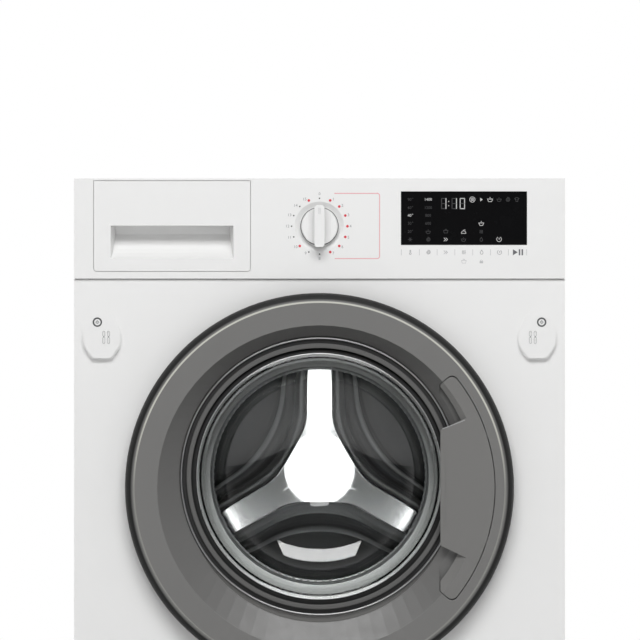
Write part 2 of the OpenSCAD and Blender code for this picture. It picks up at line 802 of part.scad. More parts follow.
module pump_impeller() {
    y1 = pump_y0 + pump_l;
    y2 = y1 + pump_volute_l;
    color("black") {
        rod([filter_x, y1, filter_z], [filter_x, y2 + 13, filter_z], 2.5);
        rod([filter_x, y1, filter_z], [filter_x, y2 - 6, filter_z], 6);
        for (a = [0 : 60 : 300]) translate([filter_x, 0, filter_z]) rotate([0, a, 0])
            box(-1.2, 1.2, y1 + 1, y2 - 6, 4, filter_r - 5);
    }
}

// Screw-in filter: a cap with a grip, a thread collar and a comb that catches what the water carries
module pump_filter() {
    y0 = filter_front_y;
    y1 = pump_y0 + pump_l - 8;
    color("gray") difference() {
        union() {
            rod([filter_x, y0, filter_z], [filter_x, pump_y0 + 12, filter_z], filter_r);
            box(filter_x - filter_r + 4, filter_x + filter_r - 4, filter_grip_y, y0 + 1,
                filter_z - 4, filter_z + 4);
            rod([filter_x, pump_y0 + 12 - eps, filter_z], [filter_x, y1, filter_z], filter_r - 3);
        }
        rod([filter_x, pump_y0 + 15, filter_z], [filter_x, y1 + eps, filter_z], filter_r - 6);
        for (a = [0, 60, 120]) translate([filter_x, 0, filter_z]) rotate([0, a, 0])
            box(-filter_r, filter_r, pump_y0 + 20, y1 - 6, -4, 4);
    }
}

module drain_hose() {
    y = pump_y0 + pump_l + pump_volute_l / 2;
    corner_y = back_in - 22;
    color("black") {
        hose([[filter_x + 50, y, filter_z], [drain_x, y, filter_z], [drain_x, corner_y, filter_z],
            [drain_x, corner_y, drain_z], [drain_x, back_y + eps, drain_z]], 8);
        ring_y(drain_x, drain_z, back_y, back_y + collar_t, 0, spigot_r + 4);
        rod([drain_x, back_y, drain_z], [drain_x, rear_y, drain_z], spigot_r);
    }
}

module mains_gland() {
    color("black") difference() {
        union() {
            ring_y(gland_x, gland_z, back_y, back_y + 10, cable_r, 11);
            ring_y(gland_x, gland_z, back_in - 8, back_y + eps, cable_r, 8);
            ring_y(gland_x, gland_z, back_in - 10, back_in, cable_r, 10);
        }
        for (a = [0 : 60 : 300]) translate([gland_x + 14 * cos(a), back_y + 3, gland_z + 14 * sin(a)])
            rotate([-90, 0, 0]) cylinder(h = 20, r = 4);
    }
}

// Blanking caps for the four transit bolt holes
module transit_caps() {
    color("gray") for (p = cap_places()) {
        ring_y(p.x, p.y, back_y, back_y + 3, 0, cap_r + 4);
        ring_y(p.x, p.y, back_in - 6, back_y + eps, 0, cap_r - 0.2);
        ring_y(p.x, p.y, back_in - 6, back_in - 3, cap_r - 2, cap_r + 1.5);
    }
}

// Gasket: front bead round the porthole's edge, fold, sealing lip and rear bead round the tub's neck
module door_gasket() {
    f = panel_y;
    n = neck_y;
    color("gray") turned(0, axis_z) polygon([[port_r - 8, f - 1.5], [port_r, f - 1.5],
        [port_r, panel_in], [port_r + 5.5, panel_in],
        [port_r + 5.5, panel_in + 4.5], [port_r - 2.5, panel_in + 4.5], [port_r - 2.5, n - 16],
        [port_r + 2, n - 12], [port_r + 2, n - 8], [port_r - 2.5, n - 3], [port_r - 2.5, n + 10],
        [neck_out + slide_gap, n + 10], [neck_out + slide_gap, n - slide_gap], [neck_in, n - slide_gap],
        [neck_in, n - 4], [port_r - 6.5, n - 5.5], [port_r - 2, n - 9], [port_r - 2, n - 11],
        [port_r - 6.5, n - 15], [port_r - 6.5, panel_in + 8], [glass_r + 3, panel_in + 10],
        [glass_r + 1.5, panel_in + 7], [port_r - 8, panel_in + 2]]);
}

// Tub, weights and drive

module tub_front() {
    color("lightgray") difference() {
        union() {
            tub_front_shell();
            difference() {
                union() {
                    translate([filter_x, pump_in_y, sump_z]) cylinder(h = 40, r = 18);
                    box(-34, 34, tub_front_y - 6, tub_front_y + 16, heater_z - 9, heater_z + 9);
                }
                ring_y(0, axis_z, tub_front_y + 14, tub_seam_y, 0, tub_in + 1);
            }
        }
        translate([filter_x, pump_in_y, sump_z - eps]) cylinder(h = 60, r = 14);
        for (x = [-heater_x, heater_x]) slab(tub_front_y - 7, tub_front_y + 17)
            translate([x, heater_z]) circle(heater_rod_r + pin_gap);
    }
}

heater_rod_r = 2.6;
heater_r = (drum_r + tub_in) / 2;
heater_x = heater_r * sin(6);
heater_z = axis_z - heater_r * cos(6);

module tub_front_shell() {
    union() {
        turned(0, axis_z) polygon([[neck_in, neck_y], [neck_out, neck_y], [neck_out, tub_front_y],
            [tub_r - 14, tub_front_y], [tub_r, tub_front_y + 14], [tub_r, tub_seam_y - flange_t],
            [tub_r + flange_out, tub_seam_y - flange_t], [tub_r + flange_out, tub_seam_y], [tub_in, tub_seam_y],
            [tub_in, tub_front_y + 15.5], [tub_r - 15.5, tub_front_y + tub_t], [neck_in, tub_front_y + tub_t]]);
    }
}

// Rear shell with its bearing hub, stiffening ribs, spring lugs, motor lugs and hose spigots
module tub_rear() {
    y1 = tub_rear_y + tub_rear_t;
    color("lightgray") difference() {
        union() {
            turned(0, axis_z) polygon([[tub_in, tub_seam_y], [tub_r + flange_out, tub_seam_y],
                [tub_r + flange_out, tub_seam_y + flange_t], [tub_r, tub_seam_y + flange_t], [tub_r, y1 - 10],
                [tub_r - 10, y1], [hub_r, y1], [hub_r, hub_back_y], [0, hub_back_y], [0, tub_rear_y],
                [tub_in - 8, tub_rear_y], [tub_in, tub_rear_y - 8]]);
            for (a = [0 : 30 : 330]) translate([0, 0, axis_z]) rotate([0, a, 0])
                box(hub_r - 2, tub_r - 14, y1 - eps, y1 + 12, -1.5, 1.5);
            mirrored_pair() spring_lug();
            difference() {
                translate([fill_x, fill_y, axis_z + 170])
                    cylinder(h = sqrt(tub_r * tub_r - fill_x * fill_x) - 170 + 22, r = fill_r - 5 - slide_gap);
                ring_y(0, axis_z, tub_seam_y, y1, 0, tub_in + 1);
            }
            mirrored_pair() damper_lug();
            for (y = [motor_y + 24, motor_y + motor_l - 24]) motor_lug(y);
        }
        ring_y(0, axis_z, tub_rear_y - eps, hub_back_y + eps, 0, shoulder_r + 1);
        translate([fill_x, fill_y, axis_z + 160]) cylinder(h = 120, r = fill_r - 8);
        ring_y(0, axis_z, front_bearing_y, front_bearing_y + bearing_l, 0, front_bearing_r);
        ring_y(0, axis_z, tub_rear_y - eps, front_bearing_y + eps, 0, front_bearing_r);
        ring_y(0, axis_z, rear_bearing_y, hub_back_y + eps, 0, rear_bearing_r);
    }
}

module spring_lug() {
    x0 = tub_in * 0.7;
    difference() {
        union() {
            box(x0, spring_x + 14, spring_y - 14, spring_y + 14, lug_z, lug_z + lug_t);
            slab(spring_y - 3, spring_y + 3) polygon([[x0, lug_z - 60], [x0, lug_z + 1], [spring_x + 10, lug_z + 1],
                [spring_x + 10, lug_z - 6]]);
        }
        ring_y(0, axis_z, spring_y - 15, spring_y + 15, 0, tub_in + 1);
    }
}

module damper_lug() {
    difference() {
        for (y = [damper_y - 13, damper_y + 8])
            box(damper_x - 10, damper_x + 10, y, y + 5, damper_top_z - 28, damper_top_z + 20);
        ring_y(0, axis_z, damper_y - 20, damper_y + 20, 0, tub_in + 1);
    }
}

module motor_lug(y) {
    d = [motor_x, motor_z - axis_z] / norm([motor_x, motor_z - axis_z]);
    slab(y - 6, y + 6) difference() {
        polygon([[d[0] * (tub_in + 1) - d[1] * 16, axis_z + d[1] * (tub_in + 1) + d[0] * 16],
            [d[0] * (tub_r + 7) - d[1] * 16, axis_z + d[1] * (tub_r + 7) + d[0] * 16],
            [d[0] * (tub_r + 7) + d[1] * 16, axis_z + d[1] * (tub_r + 7) - d[0] * 16],
            [d[0] * (tub_in + 1) + d[1] * 16, axis_z + d[1] * (tub_in + 1) - d[0] * 16]]);
        translate([0, axis_z]) circle(tub_in + 1);
    }
}

// Concrete weights: two on the tub's face beside the porthole's top and bottom, and one on top of the tub
module counterweights() {
    color("silver") {
        for (a = [90, 270]) translate([0, 0, axis_z]) slab(tub_front_y - 34, tub_front_y) difference() {
            intersection() {
                circle(tub_r - 26);
                polygon(concat([[0, 0]], arc([0, 0], 3 * tub_r, a - 48, a + 48, 6)));
            }
            circle(port_r + 9);
        }
        difference() {
            box(-40, 130, 0, 120, axis_z + 170, axis_z + tub_r + 44);
            ring_y(0, axis_z, -1, 121, 0, tub_r + 0.2);
        }
    }
}

// Motor: laminated stator with end shields and the two ears that hang it from the tub
module drive_motor() {
    d = [motor_x, motor_z - axis_z] / norm([motor_x, motor_z - axis_z]);
    r_seat = tub_r + 7;
    color("silver") difference() {
        union() {
            rod([motor_x, motor_y + 18, motor_z], [motor_x, motor_y + motor_l - 18, motor_z], motor_r);
            rod([motor_x, motor_y, motor_z], [motor_x, motor_y + motor_l, motor_z], motor_r - 8);
            for (y = [motor_y + 24, motor_y + motor_l - 24]) slab(y - 6, y + 6) polygon([
                [d[0] * r_seat - d[1] * 14, axis_z + d[1] * r_seat + d[0] * 14],
                [motor_x - d[1] * 30, motor_z + d[0] * 30], [motor_x + d[1] * 30, motor_z - d[0] * 30],
                [d[0] * r_seat + d[1] * 14, axis_z + d[1] * r_seat - d[0] * 14]]);
        }
        rod([motor_x, motor_y + 8, motor_z], [motor_x, motor_y + motor_l + eps, motor_z], motor_shaft_r + pin_gap);
    }
}

module motor_pulley() {
    color("dimgray") {
        rod([motor_x, motor_y + 9, motor_z], [motor_x, pulley_y + pulley_l + 1, motor_z], motor_shaft_r);
        rod([motor_x, pulley_y, motor_z], [motor_x, pulley_y + pulley_l, motor_z], motor_pulley_r);
        ring_y(motor_x, motor_z, pulley_y - 2, pulley_y, motor_shaft_r - 1, motor_pulley_r + 2);
    }
}

// Outline of the belt round both pulleys: two arcs whose ends are joined by the tangents
module belt_outline(grow) {
    r1 = pulley_r + belt_gap + grow;
    r2 = motor_pulley_r + belt_gap + grow;
    v = [motor_x, motor_z - axis_z];
    turn = atan2(v[1], v[0]);
    lean = acos((r1 - r2) / norm(v));
    translate([0, axis_z]) polygon(concat(arc([0, 0], r1, turn + lean, turn + 360 - lean, 90),
        arc(v, r2, turn - lean, turn + lean, 16)));
}

module drive_belt() {
    color("black") slab(pulley_y + 1, pulley_y + pulley_l - 1) difference() {
        belt_outline(belt_t);
        belt_outline(0);
    }
}

module bearing(y, r_out) {
    race = (r_out - shaft_r) / 3;
    ring_y(0, axis_z, y, y + bearing_l, r_out - race, r_out - pin_gap);
    ring_y(0, axis_z, y, y + bearing_l, shaft_r + pin_gap, shaft_r + race);
    ring_y(0, axis_z, y + 3, y + bearing_l - 3, shaft_r + race - eps, r_out - race + eps);
}

module drum_bearings() {
    color("silver") {
        bearing(front_bearing_y, front_bearing_r);
        bearing(rear_bearing_y, rear_bearing_r);
    }
}

// Tubular heater in the gap under the drum, with its terminal block outside the tub's front wall
module heater() {
    flange_y = tub_front_y - 6;
    color("silver") {
        for (s = [-1, 1]) rod([s * heater_x, flange_y - 14, heater_z], [s * heater_x, 90, heater_z], heater_rod_r);
        translate([0, 90, heater_z]) rotate_extrude(angle = 180) translate([heater_x, 0]) circle(heater_rod_r);
        slab(flange_y - 4, flange_y) round_rect(-36, heater_z - 10, 36, heater_z + 10, 8);
        for (x = [-heater_x, heater_x]) ring_y(x, heater_z, flange_y - 9, flange_y - 3, 0, 6);
    }
}

module damper_bodies() {
    l = damper_eye_z - damper_show - damper_seat_z;
    color("dimgray") mirrored_pair() translate([damper_x, damper_y, damper_seat_z]) difference() {
        cylinder(h = l, r = damper_r);
        translate([0, 0, 14]) cylinder(h = l, r = damper_rod_r + pin_gap);
    }
}

module damper_rods() {
    z0 = damper_seat_z + 14 + float_travel + 4;
    color("silver") mirrored_pair() translate([damper_x, damper_y, 0]) {
        translate([0, 0, z0]) cylinder(h = damper_top_z - z0 - 12, r = damper_rod_r);
        translate([-7, -8, damper_eye_z]) cube([14, 16, 16]);
    }
}

// One hanging spring: closed hooks at its ends are left out, and its coil seats on hanger and lug
module suspension_springs() {
    z0 = lug_z + lug_t + slide_gap + spring_wire_r;
    z1 = hanger_z - slide_gap - spring_wire_r;
    color("silver") mirrored_pair() translate([spring_x, spring_y, 0])
        coil(z0, z1, spring_turns, spring_r, spring_wire_r, 8, 6);
    echo(spring_least_gap_mm = (z1 - z0) / spring_turns - 2 * spring_wire_r);
}

// A tube round a helix: turns, coil radius, wire radius, steps in a turn and sides of the wire
module coil(z0, z1, turns, r, wire_r, steps, sides) {
    n = turns * steps;
    pts = [for (i = [0 : n]) for (k = [0 : sides - 1]) let (a = 360 * i / steps, b = 360 * k / sides)
        [(r + wire_r * cos(b)) * cos(a), (r + wire_r * cos(b)) * sin(a), z0 + (z1 - z0) * i / n + wire_r * sin(b)]];
    walls = [for (i = [0 : n - 1]) for (k = [0 : sides - 1]) let (a = i * sides + k,
        b = i * sides + (k + 1) % sides) each [[a, b + sides, b], [a, a + sides, b + sides]]];
    ends = concat([for (k = [1 : sides - 2]) [0, k, k + 1]],
        [for (k = [1 : sides - 2]) [n * sides, n * sides + k + 1, n * sides + k]]);
    polyhedron(pts, [for (f = concat(walls, ends)) [f[0], f[2], f[1]]]);
}

// Drum

module drum_shell() {
    y0 = drum_front_y;
    color("silver") turned(0, axis_z) polygon([[mouth_r, y0 - 8], [mouth_r + drum_t, y0 - 8],
        [mouth_r + 4, y0], [drum_r - 12, y0], [drum_r, y0 + 12], [drum_r, drum_back_y],
        [drum_r - drum_t, drum_back_y], [drum_r - drum_t, y0 + 12.6], [drum_r - 12.6, y0 + drum_t],
        [mouth_r + 3, y0 + drum_t], [mouth_r, y0 - 4]]);
}

// Outline of the three-armed pressing in the drum's back, grown by g: between each two arms a leaf is left,
// round towards the middle and straight along the arms
module star(g) {
    reach = (star_web + star_arm) / sin(60);
    side = [sin(60), -cos(60)] * (star_arm + g);
    difference() {
        circle(drum_r - drum_t - 14);
        for (a = [30, 150, 270]) rotate(a) {
            translate([reach, 0]) circle(star_web - g);
            polygon([for (l = [reach / 2, 2 * drum_r]) l * [cos(60), sin(60)] + side,
                for (l = [2 * drum_r, reach / 2]) [l * cos(60) + side.x, -l * sin(60) - side.y]]);
        }
    }
}

star_arm = 19;
star_web = 127;
star_step = 5;

// Back of the drum: a flat sheet with the star pressed towards the front in two steps, and drain holes
module drum_back() {
    y1 = drum_back_y;
    color("silver") difference() {
        union() {
            slab(y1 - back_plate_t, y1) translate([0, axis_z]) circle(drum_r - drum_t - 0.1);
            slab(y1 - back_plate_t - star_step, y1 - back_plate_t + eps) translate([0, axis_z]) star(27);
            slab(y1 - back_plate_t - 2 * star_step, y1 - back_plate_t - star_step + eps)
                translate([0, axis_z]) star(0);
        }
        for (a = [30, 150, 270], b = [-24 : 6 : 24]) slab(y1 - back_plate_t - 1, y1 + 1)
            translate([0, axis_z]) rotate(a + b) translate([leaf_hole_r, 0]) circle(1.8);
    }
}

leaf_hole_r = mouth_r + 18;

// Three hollow lifters: a tapered box with a round crest, clipped to the drum's wall between the star's arms
module drum_lifters() {
    r = drum_r - drum_t - 0.3;
    h = lifter_h;
    color("white") translate([0, 0, axis_z]) for (a = [30, 150, 270]) rotate([0, -a, 0])
        slab(drum_front_y + 26, drum_back_y - 26) intersection() {
            circle(r);
            difference() {
                union() {
                    polygon([[r, -30], [r, 30], [r - h + 10, 10], [r - h + 10, -10]]);
                    translate([r - h + 10, 0]) circle(10);
                    translate([r - 9, -30]) square([9, 60]);
                }
                polygon([[r + 9, -24], [r + 9, 24], [r - h + 14, 6], [r - h + 14, -6]]);
            }
        }
}

// Cast spider and the shaft that it is cast on
module drum_spider() {
    color("silver") difference() {
        union() {
            slab(drum_back_y, drum_back_y + spider_t) translate([0, axis_z]) union() {
                circle(40);
                for (a = [90, 210, 330]) rotate(a) polygon([[20, -20], [drum_r - 20, -10],
                    [drum_r - 20, 10], [20, 20]]);
            }
            rod([0, drum_back_y + spider_t - eps, axis_z], [0, front_bearing_y - 1, axis_z], shoulder_r);
            rod([0, drum_back_y, axis_z], [0, pulley_y + pulley_l + 2, axis_z], shaft_r);
        }
        for (a = [90, 210, 330]) slab(drum_back_y + 5, drum_back_y + spider_t + eps) translate([0, axis_z])
            rotate(a) polygon([[48, -10], [drum_r - 40, -5], [drum_r - 40, 5], [48, 10]]);
    }
}

// Cast pulley with five spokes
module drum_pulley() {
    y0 = pulley_y;
    y1 = pulley_y + pulley_l;
    color("silver") {
        ring_y(0, axis_z, y0, y1, pulley_r - 8, pulley_r);
        ring_y(0, axis_z, y0 - pulley_gap + 1, y1, shaft_r + pin_gap, 26);
        for (a = [0 : 72 : 288]) translate([0, 0, axis_z]) rotate([0, a, 0])
            box(25, pulley_r - 7, y0 + 4, y1 - 4, -8, 8);
    }
}

// Door

// The recess round the porthole: a funnel from the face to the trim, drawn off centre to the porthole
module recess_funnel() {
    hull($fn = 72) {
        translate([0, face_y, door_z]) rotate([90, 0, 0]) cylinder(h = 1, r = recess_r, $fn = 72);
        translate([0, recess_y, axis_z]) rotate([90, 0, 0]) cylinder(h = 0.5, r = trim_r + 0.6, $fn = 72);
    }
}

module hinge_pockets() {
    for (s = [-1, 1]) translate([hinge_x, hinge_y, door_z + s * hinge_arm_z - hinge_arm_h / 2 - 0.6])
        linear_extrude(hinge_arm_h + 1.2) union() {
            polygon(concat([[0, 0]], arc([0, 0], hinge_reach, -15, door_swing + 45, 10)));
            circle(hinge_eye_r + 0.5);
            translate([0, -3.6]) square([14, 4]);
        }
}

// Sector that the handle fills, grown by g
module handle_sector(g) {
    half = handle_half + g / 4;
    turn = asin(handle_corner / (handle_r + g - handle_corner));
    intersection() {
        union() {
            fan(handle_r + g - handle_corner, -half, half);
            fan(handle_r + g, turn - half, half - turn);
            for (a = [turn - half, half - turn]) rotate(a) translate([handle_r + g - handle_corner, 0])
                circle(handle_corner);
        }
        translate([flap_x - g, -door_r]) square([door_r, 2 * door_r]);
    }
}

module door_ring() {
    color("gray") difference() {
        turned(0, door_z) polygon(concat([[trim_r - 6, recess_y - 1], [trim_r - 6, face_y],
            [door_r - rim_w - 1.8, face_y], [door_r - rim_w - 0.6, face_y + 1]],
            [for (a = [0 : 15 : 90]) [door_r - rim_w * (1 - sin(a)), face_y + 1.2 + rim_d * (1 - cos(a))]],
            [[door_r - 1.5, frame_y - 1], [door_r - 3, frame_y], [trim_r - 6, frame_y]]));
        recess_funnel();
        slab(face_y, frame_y + eps) translate([0, axis_z]) circle(trim_r + 0.6);
        translate([0, 0, door_z]) slab(face_y - eps, face_y + handle_t + 6) handle_sector(handle_gap);
        hinge_pockets();
        rod([hinge_x, hinge_y, door_z - 46.3], [hinge_x, hinge_y, door_z + 46.3], hinge_pin_r + pin_gap);
        rod([lever_x, lever_y, door_z - lever_pin_z - lever_pin_l - 1],
            [lever_x, lever_y, door_z + lever_pin_z + lever_pin_l + 1], lever_pin_r + pin_gap);
        box(hook_x - 12, hook_x + 12, hook_y - 5, frame_y + eps, door_z - 8, door_z + 8);
        rod([hook_x, hook_y, door_z - 15.3], [hook_x, hook_y, door_z + 15.3], hook_pin_r + pin_gap);
    }
}

// Dark stepped bezel between the bright trim and the glass
module door_bezel() {
    color("dimgray") turned(0, axis_z) polygon([[glass_r, frame_y - 2], [glass_r + 1.5, frame_y - 2.4],
        [glass_r + 7, recess_y + 1], [glass_r + 8, recess_y - 3], [glass_r + 11.5, recess_y - 3],
        [glass_r + 12.5, recess_y], [trim_r - 3.2, recess_y], [trim_r - 3.2, recess_y + 1.6],
        [trim_r, recess_y + 1.6], [trim_r, frame_y], [glass_r, frame_y]]);
}

module door_trim() {
    color("white") turned(0, axis_z) polygon([[trim_r - 3, recess_y - 1], [trim_r - 2, recess_y - 2.6],
        [trim_r - 1, recess_y - 2.6], [trim_r, recess_y - 1], [trim_r, recess_y + 1.6], [trim_r - 3, recess_y + 1.6]]);
}

// Outer (rear) curve of the glass bowl, a deep cup with a flat floor and a drafted wall, pulled in by t
function bowl_curve(t) = [for (i = [0 : 10]) let (a = 90 * i / 10, deep = pow(sin(a), 0.62))
    [(glass_r - 3 - t) * pow(cos(a), 0.62) * (1 - bowl_draft * deep), door_back_y + (bowl_d - 4 - t) * deep]];

module door_glass() {
    y0 = frame_y;
    y1 = frame_y + glass_flange_t;
    color([0.8, 0.85, 0.85, 0.4]) turned(0, axis_z) polygon(concat(
        [[glass_r - 4 - glass_t, y0], [glass_r + glass_flange_w, y0], [glass_r + glass_flange_w, y1],
            [glass_r - 2, y1]],
        [for (p = bowl_curve(0)) p],
        [for (i = [10 : -1 : 0]) bowl_curve(glass_t)[i]]));
}

module door_back_frame() {
    color("gray") difference() {
        slab(frame_y, door_back_y) difference() {
            translate([0, door_z]) circle(door_r - 9);
            translate([0, axis_z]) circle(glass_r + 2);
        }
        slab(frame_y - eps, frame_y + glass_flange_t + 0.1) translate([0, axis_z])
            circle(glass_r + glass_flange_w + 0.3);
        hinge_pockets();
        box(hook_x - 12, hook_x + 12, frame_y - eps, door_back_y + eps, door_z - 8, door_z + 8);
        rod([hook_x, hook_y, door_z - 15.3], [hook_x, hook_y, door_z + 15.3], hook_pin_r + pin_gap);
    }
}

module hinge_pin() {
    color("silver") rod([hinge_x, hinge_y, door_z - 46], [hinge_x, hinge_y, door_z + 46], hinge_pin_r);
}

// Fixed hinge: a plate on the front sheet with two cranked arms that reach round into the door
module hinge_plate() {
    x0 = hinge_x + hinge_arm_x;
    color("silver") {
        slab(panel_y - 2, panel_y) round_rect(x0 - 3, door_z - 48, x0 + 21, door_z + 48, 4);
        for (s = [-1, 1]) translate([0, 0, door_z + s * hinge_arm_z - hinge_arm_h / 2])
            linear_extrude(hinge_arm_h) difference() {
                union() {
                    translate([hinge_x, hinge_y]) circle(hinge_eye_r);
                    translate([hinge_x, hinge_y - 3]) square([hinge_arm_x + 3, 6]);
                    translate([x0 - 3, hinge_y - 3]) square([6, hinge_off + 3]);
                }
                translate([hinge_x, hinge_y]) circle(hinge_pin_r + pin_gap);
            }
    }
}

// Pull handle: a curved plate flush with the door's face, with a flap that reaches over the recess
module door_handle() {
    color("gray") {
        difference() {
            translate([0, 0, door_z]) slab(face_y, face_y + handle_t) handle_sector(0);
            difference() {
                recess_funnel();
                translate([0, 0, door_z]) slab(face_y - eps, face_y + 40) fan(2 * door_r, -flap_half, flap_half);
            }
            box(flap_x + 6, flap_x + 6.8, face_y - eps, face_y + 0.5, door_z - 48, door_z + 48);
        }
        for (s = [-1, 1]) hull($fn = 24) {
            for (y = [lever_y - 1, lever_y])
                rod([lever_x, y, door_z + s * (lever_pin_z - 8)], [lever_x, y, door_z + s * lever_pin_z], 3);
        }
        for (s = [-1, 1]) rod([lever_x, lever_y, door_z + s * (lever_pin_z - 4)],
            [lever_x, lever_y, door_z + s * (lever_pin_z + lever_pin_l)], lever_pin_r);
    }
}

// Hook that the handle turns, reaching through the sheet into the lock
module latch_hook() {
    tip = panel_in + 18;
    color("silver") {
        translate([0, 0, door_z - hook_h / 2]) linear_extrude(hook_h) union() {
            translate([hook_x, hook_y]) circle(4.5);
            polygon([[hook_x - 3, hook_y], [hook_x + 3, hook_y], [hook_x + 3, tip], [hook_x - 1, tip],
                [hook_x - 7, tip - 5], [hook_x - 7, tip - 8], [hook_x - 3, tip - 8]]);
        }
        rod([hook_x, hook_y, door_z - 15], [hook_x, hook_y, door_z + 15], hook_pin_r);
    }
}

module door_lock() {
    x0 = hook_x - slot_half_x - 4;
    x1 = hook_x + slot_half_x + 6;
    color("black") difference() {
        box(x0, x1, panel_in, panel_in + lock_d, door_z - 34, door_z + 34);
        box(x0 + 4, x1 - 6, panel_in - eps, panel_in + lock_d - 4, door_z - slot_half_z, door_z + slot_half_z);
        slab(panel_in - eps, panel_in + 5.2) translate([0, axis_z]) circle(port_r + 6.2);
    }
}

// Covers over the four furniture hinge places

cover_z_high = body_h - cover_top;
function cover_places() = [for (s = [-1, 1], z = [cover_z_high, cover_z_low]) [s * (side_x - cover_edge), z, s]];
function cover_screw_places() = [for (p = cover_places()) [p[0] + p[2] * 5.4, p[1] + 17]];

screw_r = 2;
screw_head_r = 4.6;

// Upright panel with long cut corners, the upper ones longer
module cover_outline(inset) {
    w = cover_w / 2 - inset;
    h = cover_h / 2 - inset;
    low = cover_h * 0.286;
    high = cover_h * 0.41;
    side = [[w - 11, -h], [w, low - h], [w, h - high], [w - 10.8, h]];
    ease = (2 * h - low - high) * 0.4;
    polygon(rounded(concat(side, [for (i = [3 : -1 : 0]) [-side[i].x, side[i].y]]),
        [4, ease, ease, 4, 4, ease, ease, 4]));
}

module hinge_covers() {
    color("whitesmoke") for (p = cover_places()) difference() {
        union() {
            slab(panel_y - cover_t + 1.5, panel_y) translate([p[0], p[1]]) cover_outline(0);
            slab(panel_y - cover_t, panel_y - cover_t + 1.6) translate([p[0], p[1]]) cover_outline(1.2);
        }
        translate([p[0] + p[2] * 5.4, 0, p[1] + 17]) {
            slab(panel_y - cover_t - eps, panel_y - cover_t + 3.5) circle(5.8);
            slab(panel_y - cover_t - eps, panel_y + eps) circle(screw_r + pin_gap);
        }
        for (x = [-2.4, -8.2], z = [-7, 2.4]) slab(panel_y - cover_t - eps, panel_y - cover_t + 1)
            translate([p[0] + p[2] * x, p[1]]) round_rect(-1.3, z - 3, 1.3, z + 3, 1.2);
    }
}

module cover_screws() {
    color("silver") for (p = cover_screw_places()) difference() {
        union() {
            slab(panel_y - cover_t + 1.2, panel_y - cover_t + 3.5) translate(p) circle(screw_head_r);
            slab(panel_y - cover_t + 3.4, panel_in + 8) translate(p) circle(screw_r);
        }
        slab(panel_y - cover_t, panel_y - cover_t + 2.4) translate(p) union() {
            square([4.6, 1], center = true);
            square([1, 4.6], center = true);
        }
    }
}

// Filter flap in the toe panel, on two stub pins along its lower edge
module filter_flap() {
    y = (toe_y + kick_in) / 2;
    z = flap_z0 + 2;
    x0 = filter_x - flap_w / 2;
    x1 = filter_x + flap_w / 2;
    color("white") {
        slab(toe_y, kick_in) round_rect(x0 + flap_gap, z, x1 - flap_gap, flap_z1 - flap_gap, 2);
        rod([x0 + flap_gap, y, z], [x1 - flap_gap, y, z], kick_t / 2);
        rod([x0 - 3, y, z], [x1 + 3, y, z], flap_pin_r);
        slab(toe_y - 1.5, toe_y + eps) round_rect(filter_x - 18, flap_z1 - 9, filter_x + 18, flap_z1 - 5, 1.5);
    }
}

// Levelling foot: a rubber-faced pad on a threaded stud
module foot(x, y) {
    color("dimgray") translate([x, y, 0]) {
        rotate_extrude() polygon([[0, 0], [pad_r - 1, 0], [pad_r, 1.5], [pad_r, 6], [pad_r - 8, pad_h], [0, pad_h]]);
        translate([0, 0, pad_h - 1]) cylinder(h = 6, r = 9, $fn = 6);
        cylinder(h = stud_top, r = stud_r);
    }
}

base_tray();
side_panel_left();
side_panel_right();
rear_panel();
rear_cover();
top_panel();
front_panel();
kick_panel();
control_fascia();
display_window();
control_board();
dispenser_housing();
inlet_valve();
inlet_hose();
fill_hose();
door_gasket();
suspension_springs();
damper_bodies();
door_lock();
hinge_plate();
hinge_covers();
cover_screws();
drain_pump();
sump_hose();
drain_hose();
mains_gland();
transit_caps();
tub_front();
tub_rear();
counterweights();
drive_motor();
drive_belt();
drum_bearings();
heater();
damper_rods();
drum_shell();
drum_back();
drum_lifters();
drum_spider();
drum_pulley();
motor_pulley();
door_ring();
door_bezel();
door_trim();
door_glass();
door_back_frame();
hinge_pin();
door_handle();
latch_hook();
program_knob();
drawer_front();
drawer_tray();
softener_siphon();
filter_flap();
pump_filter();
pump_impeller();
foot(-foot_x, foot_front_y);  // foot_front_left
foot(foot_x, foot_front_y);  // foot_front_right
foot(-foot_x, foot_rear_y);  // foot_rear_left
foot(foot_x, foot_rear_y);  // foot_rear_right
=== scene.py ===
import json
import math

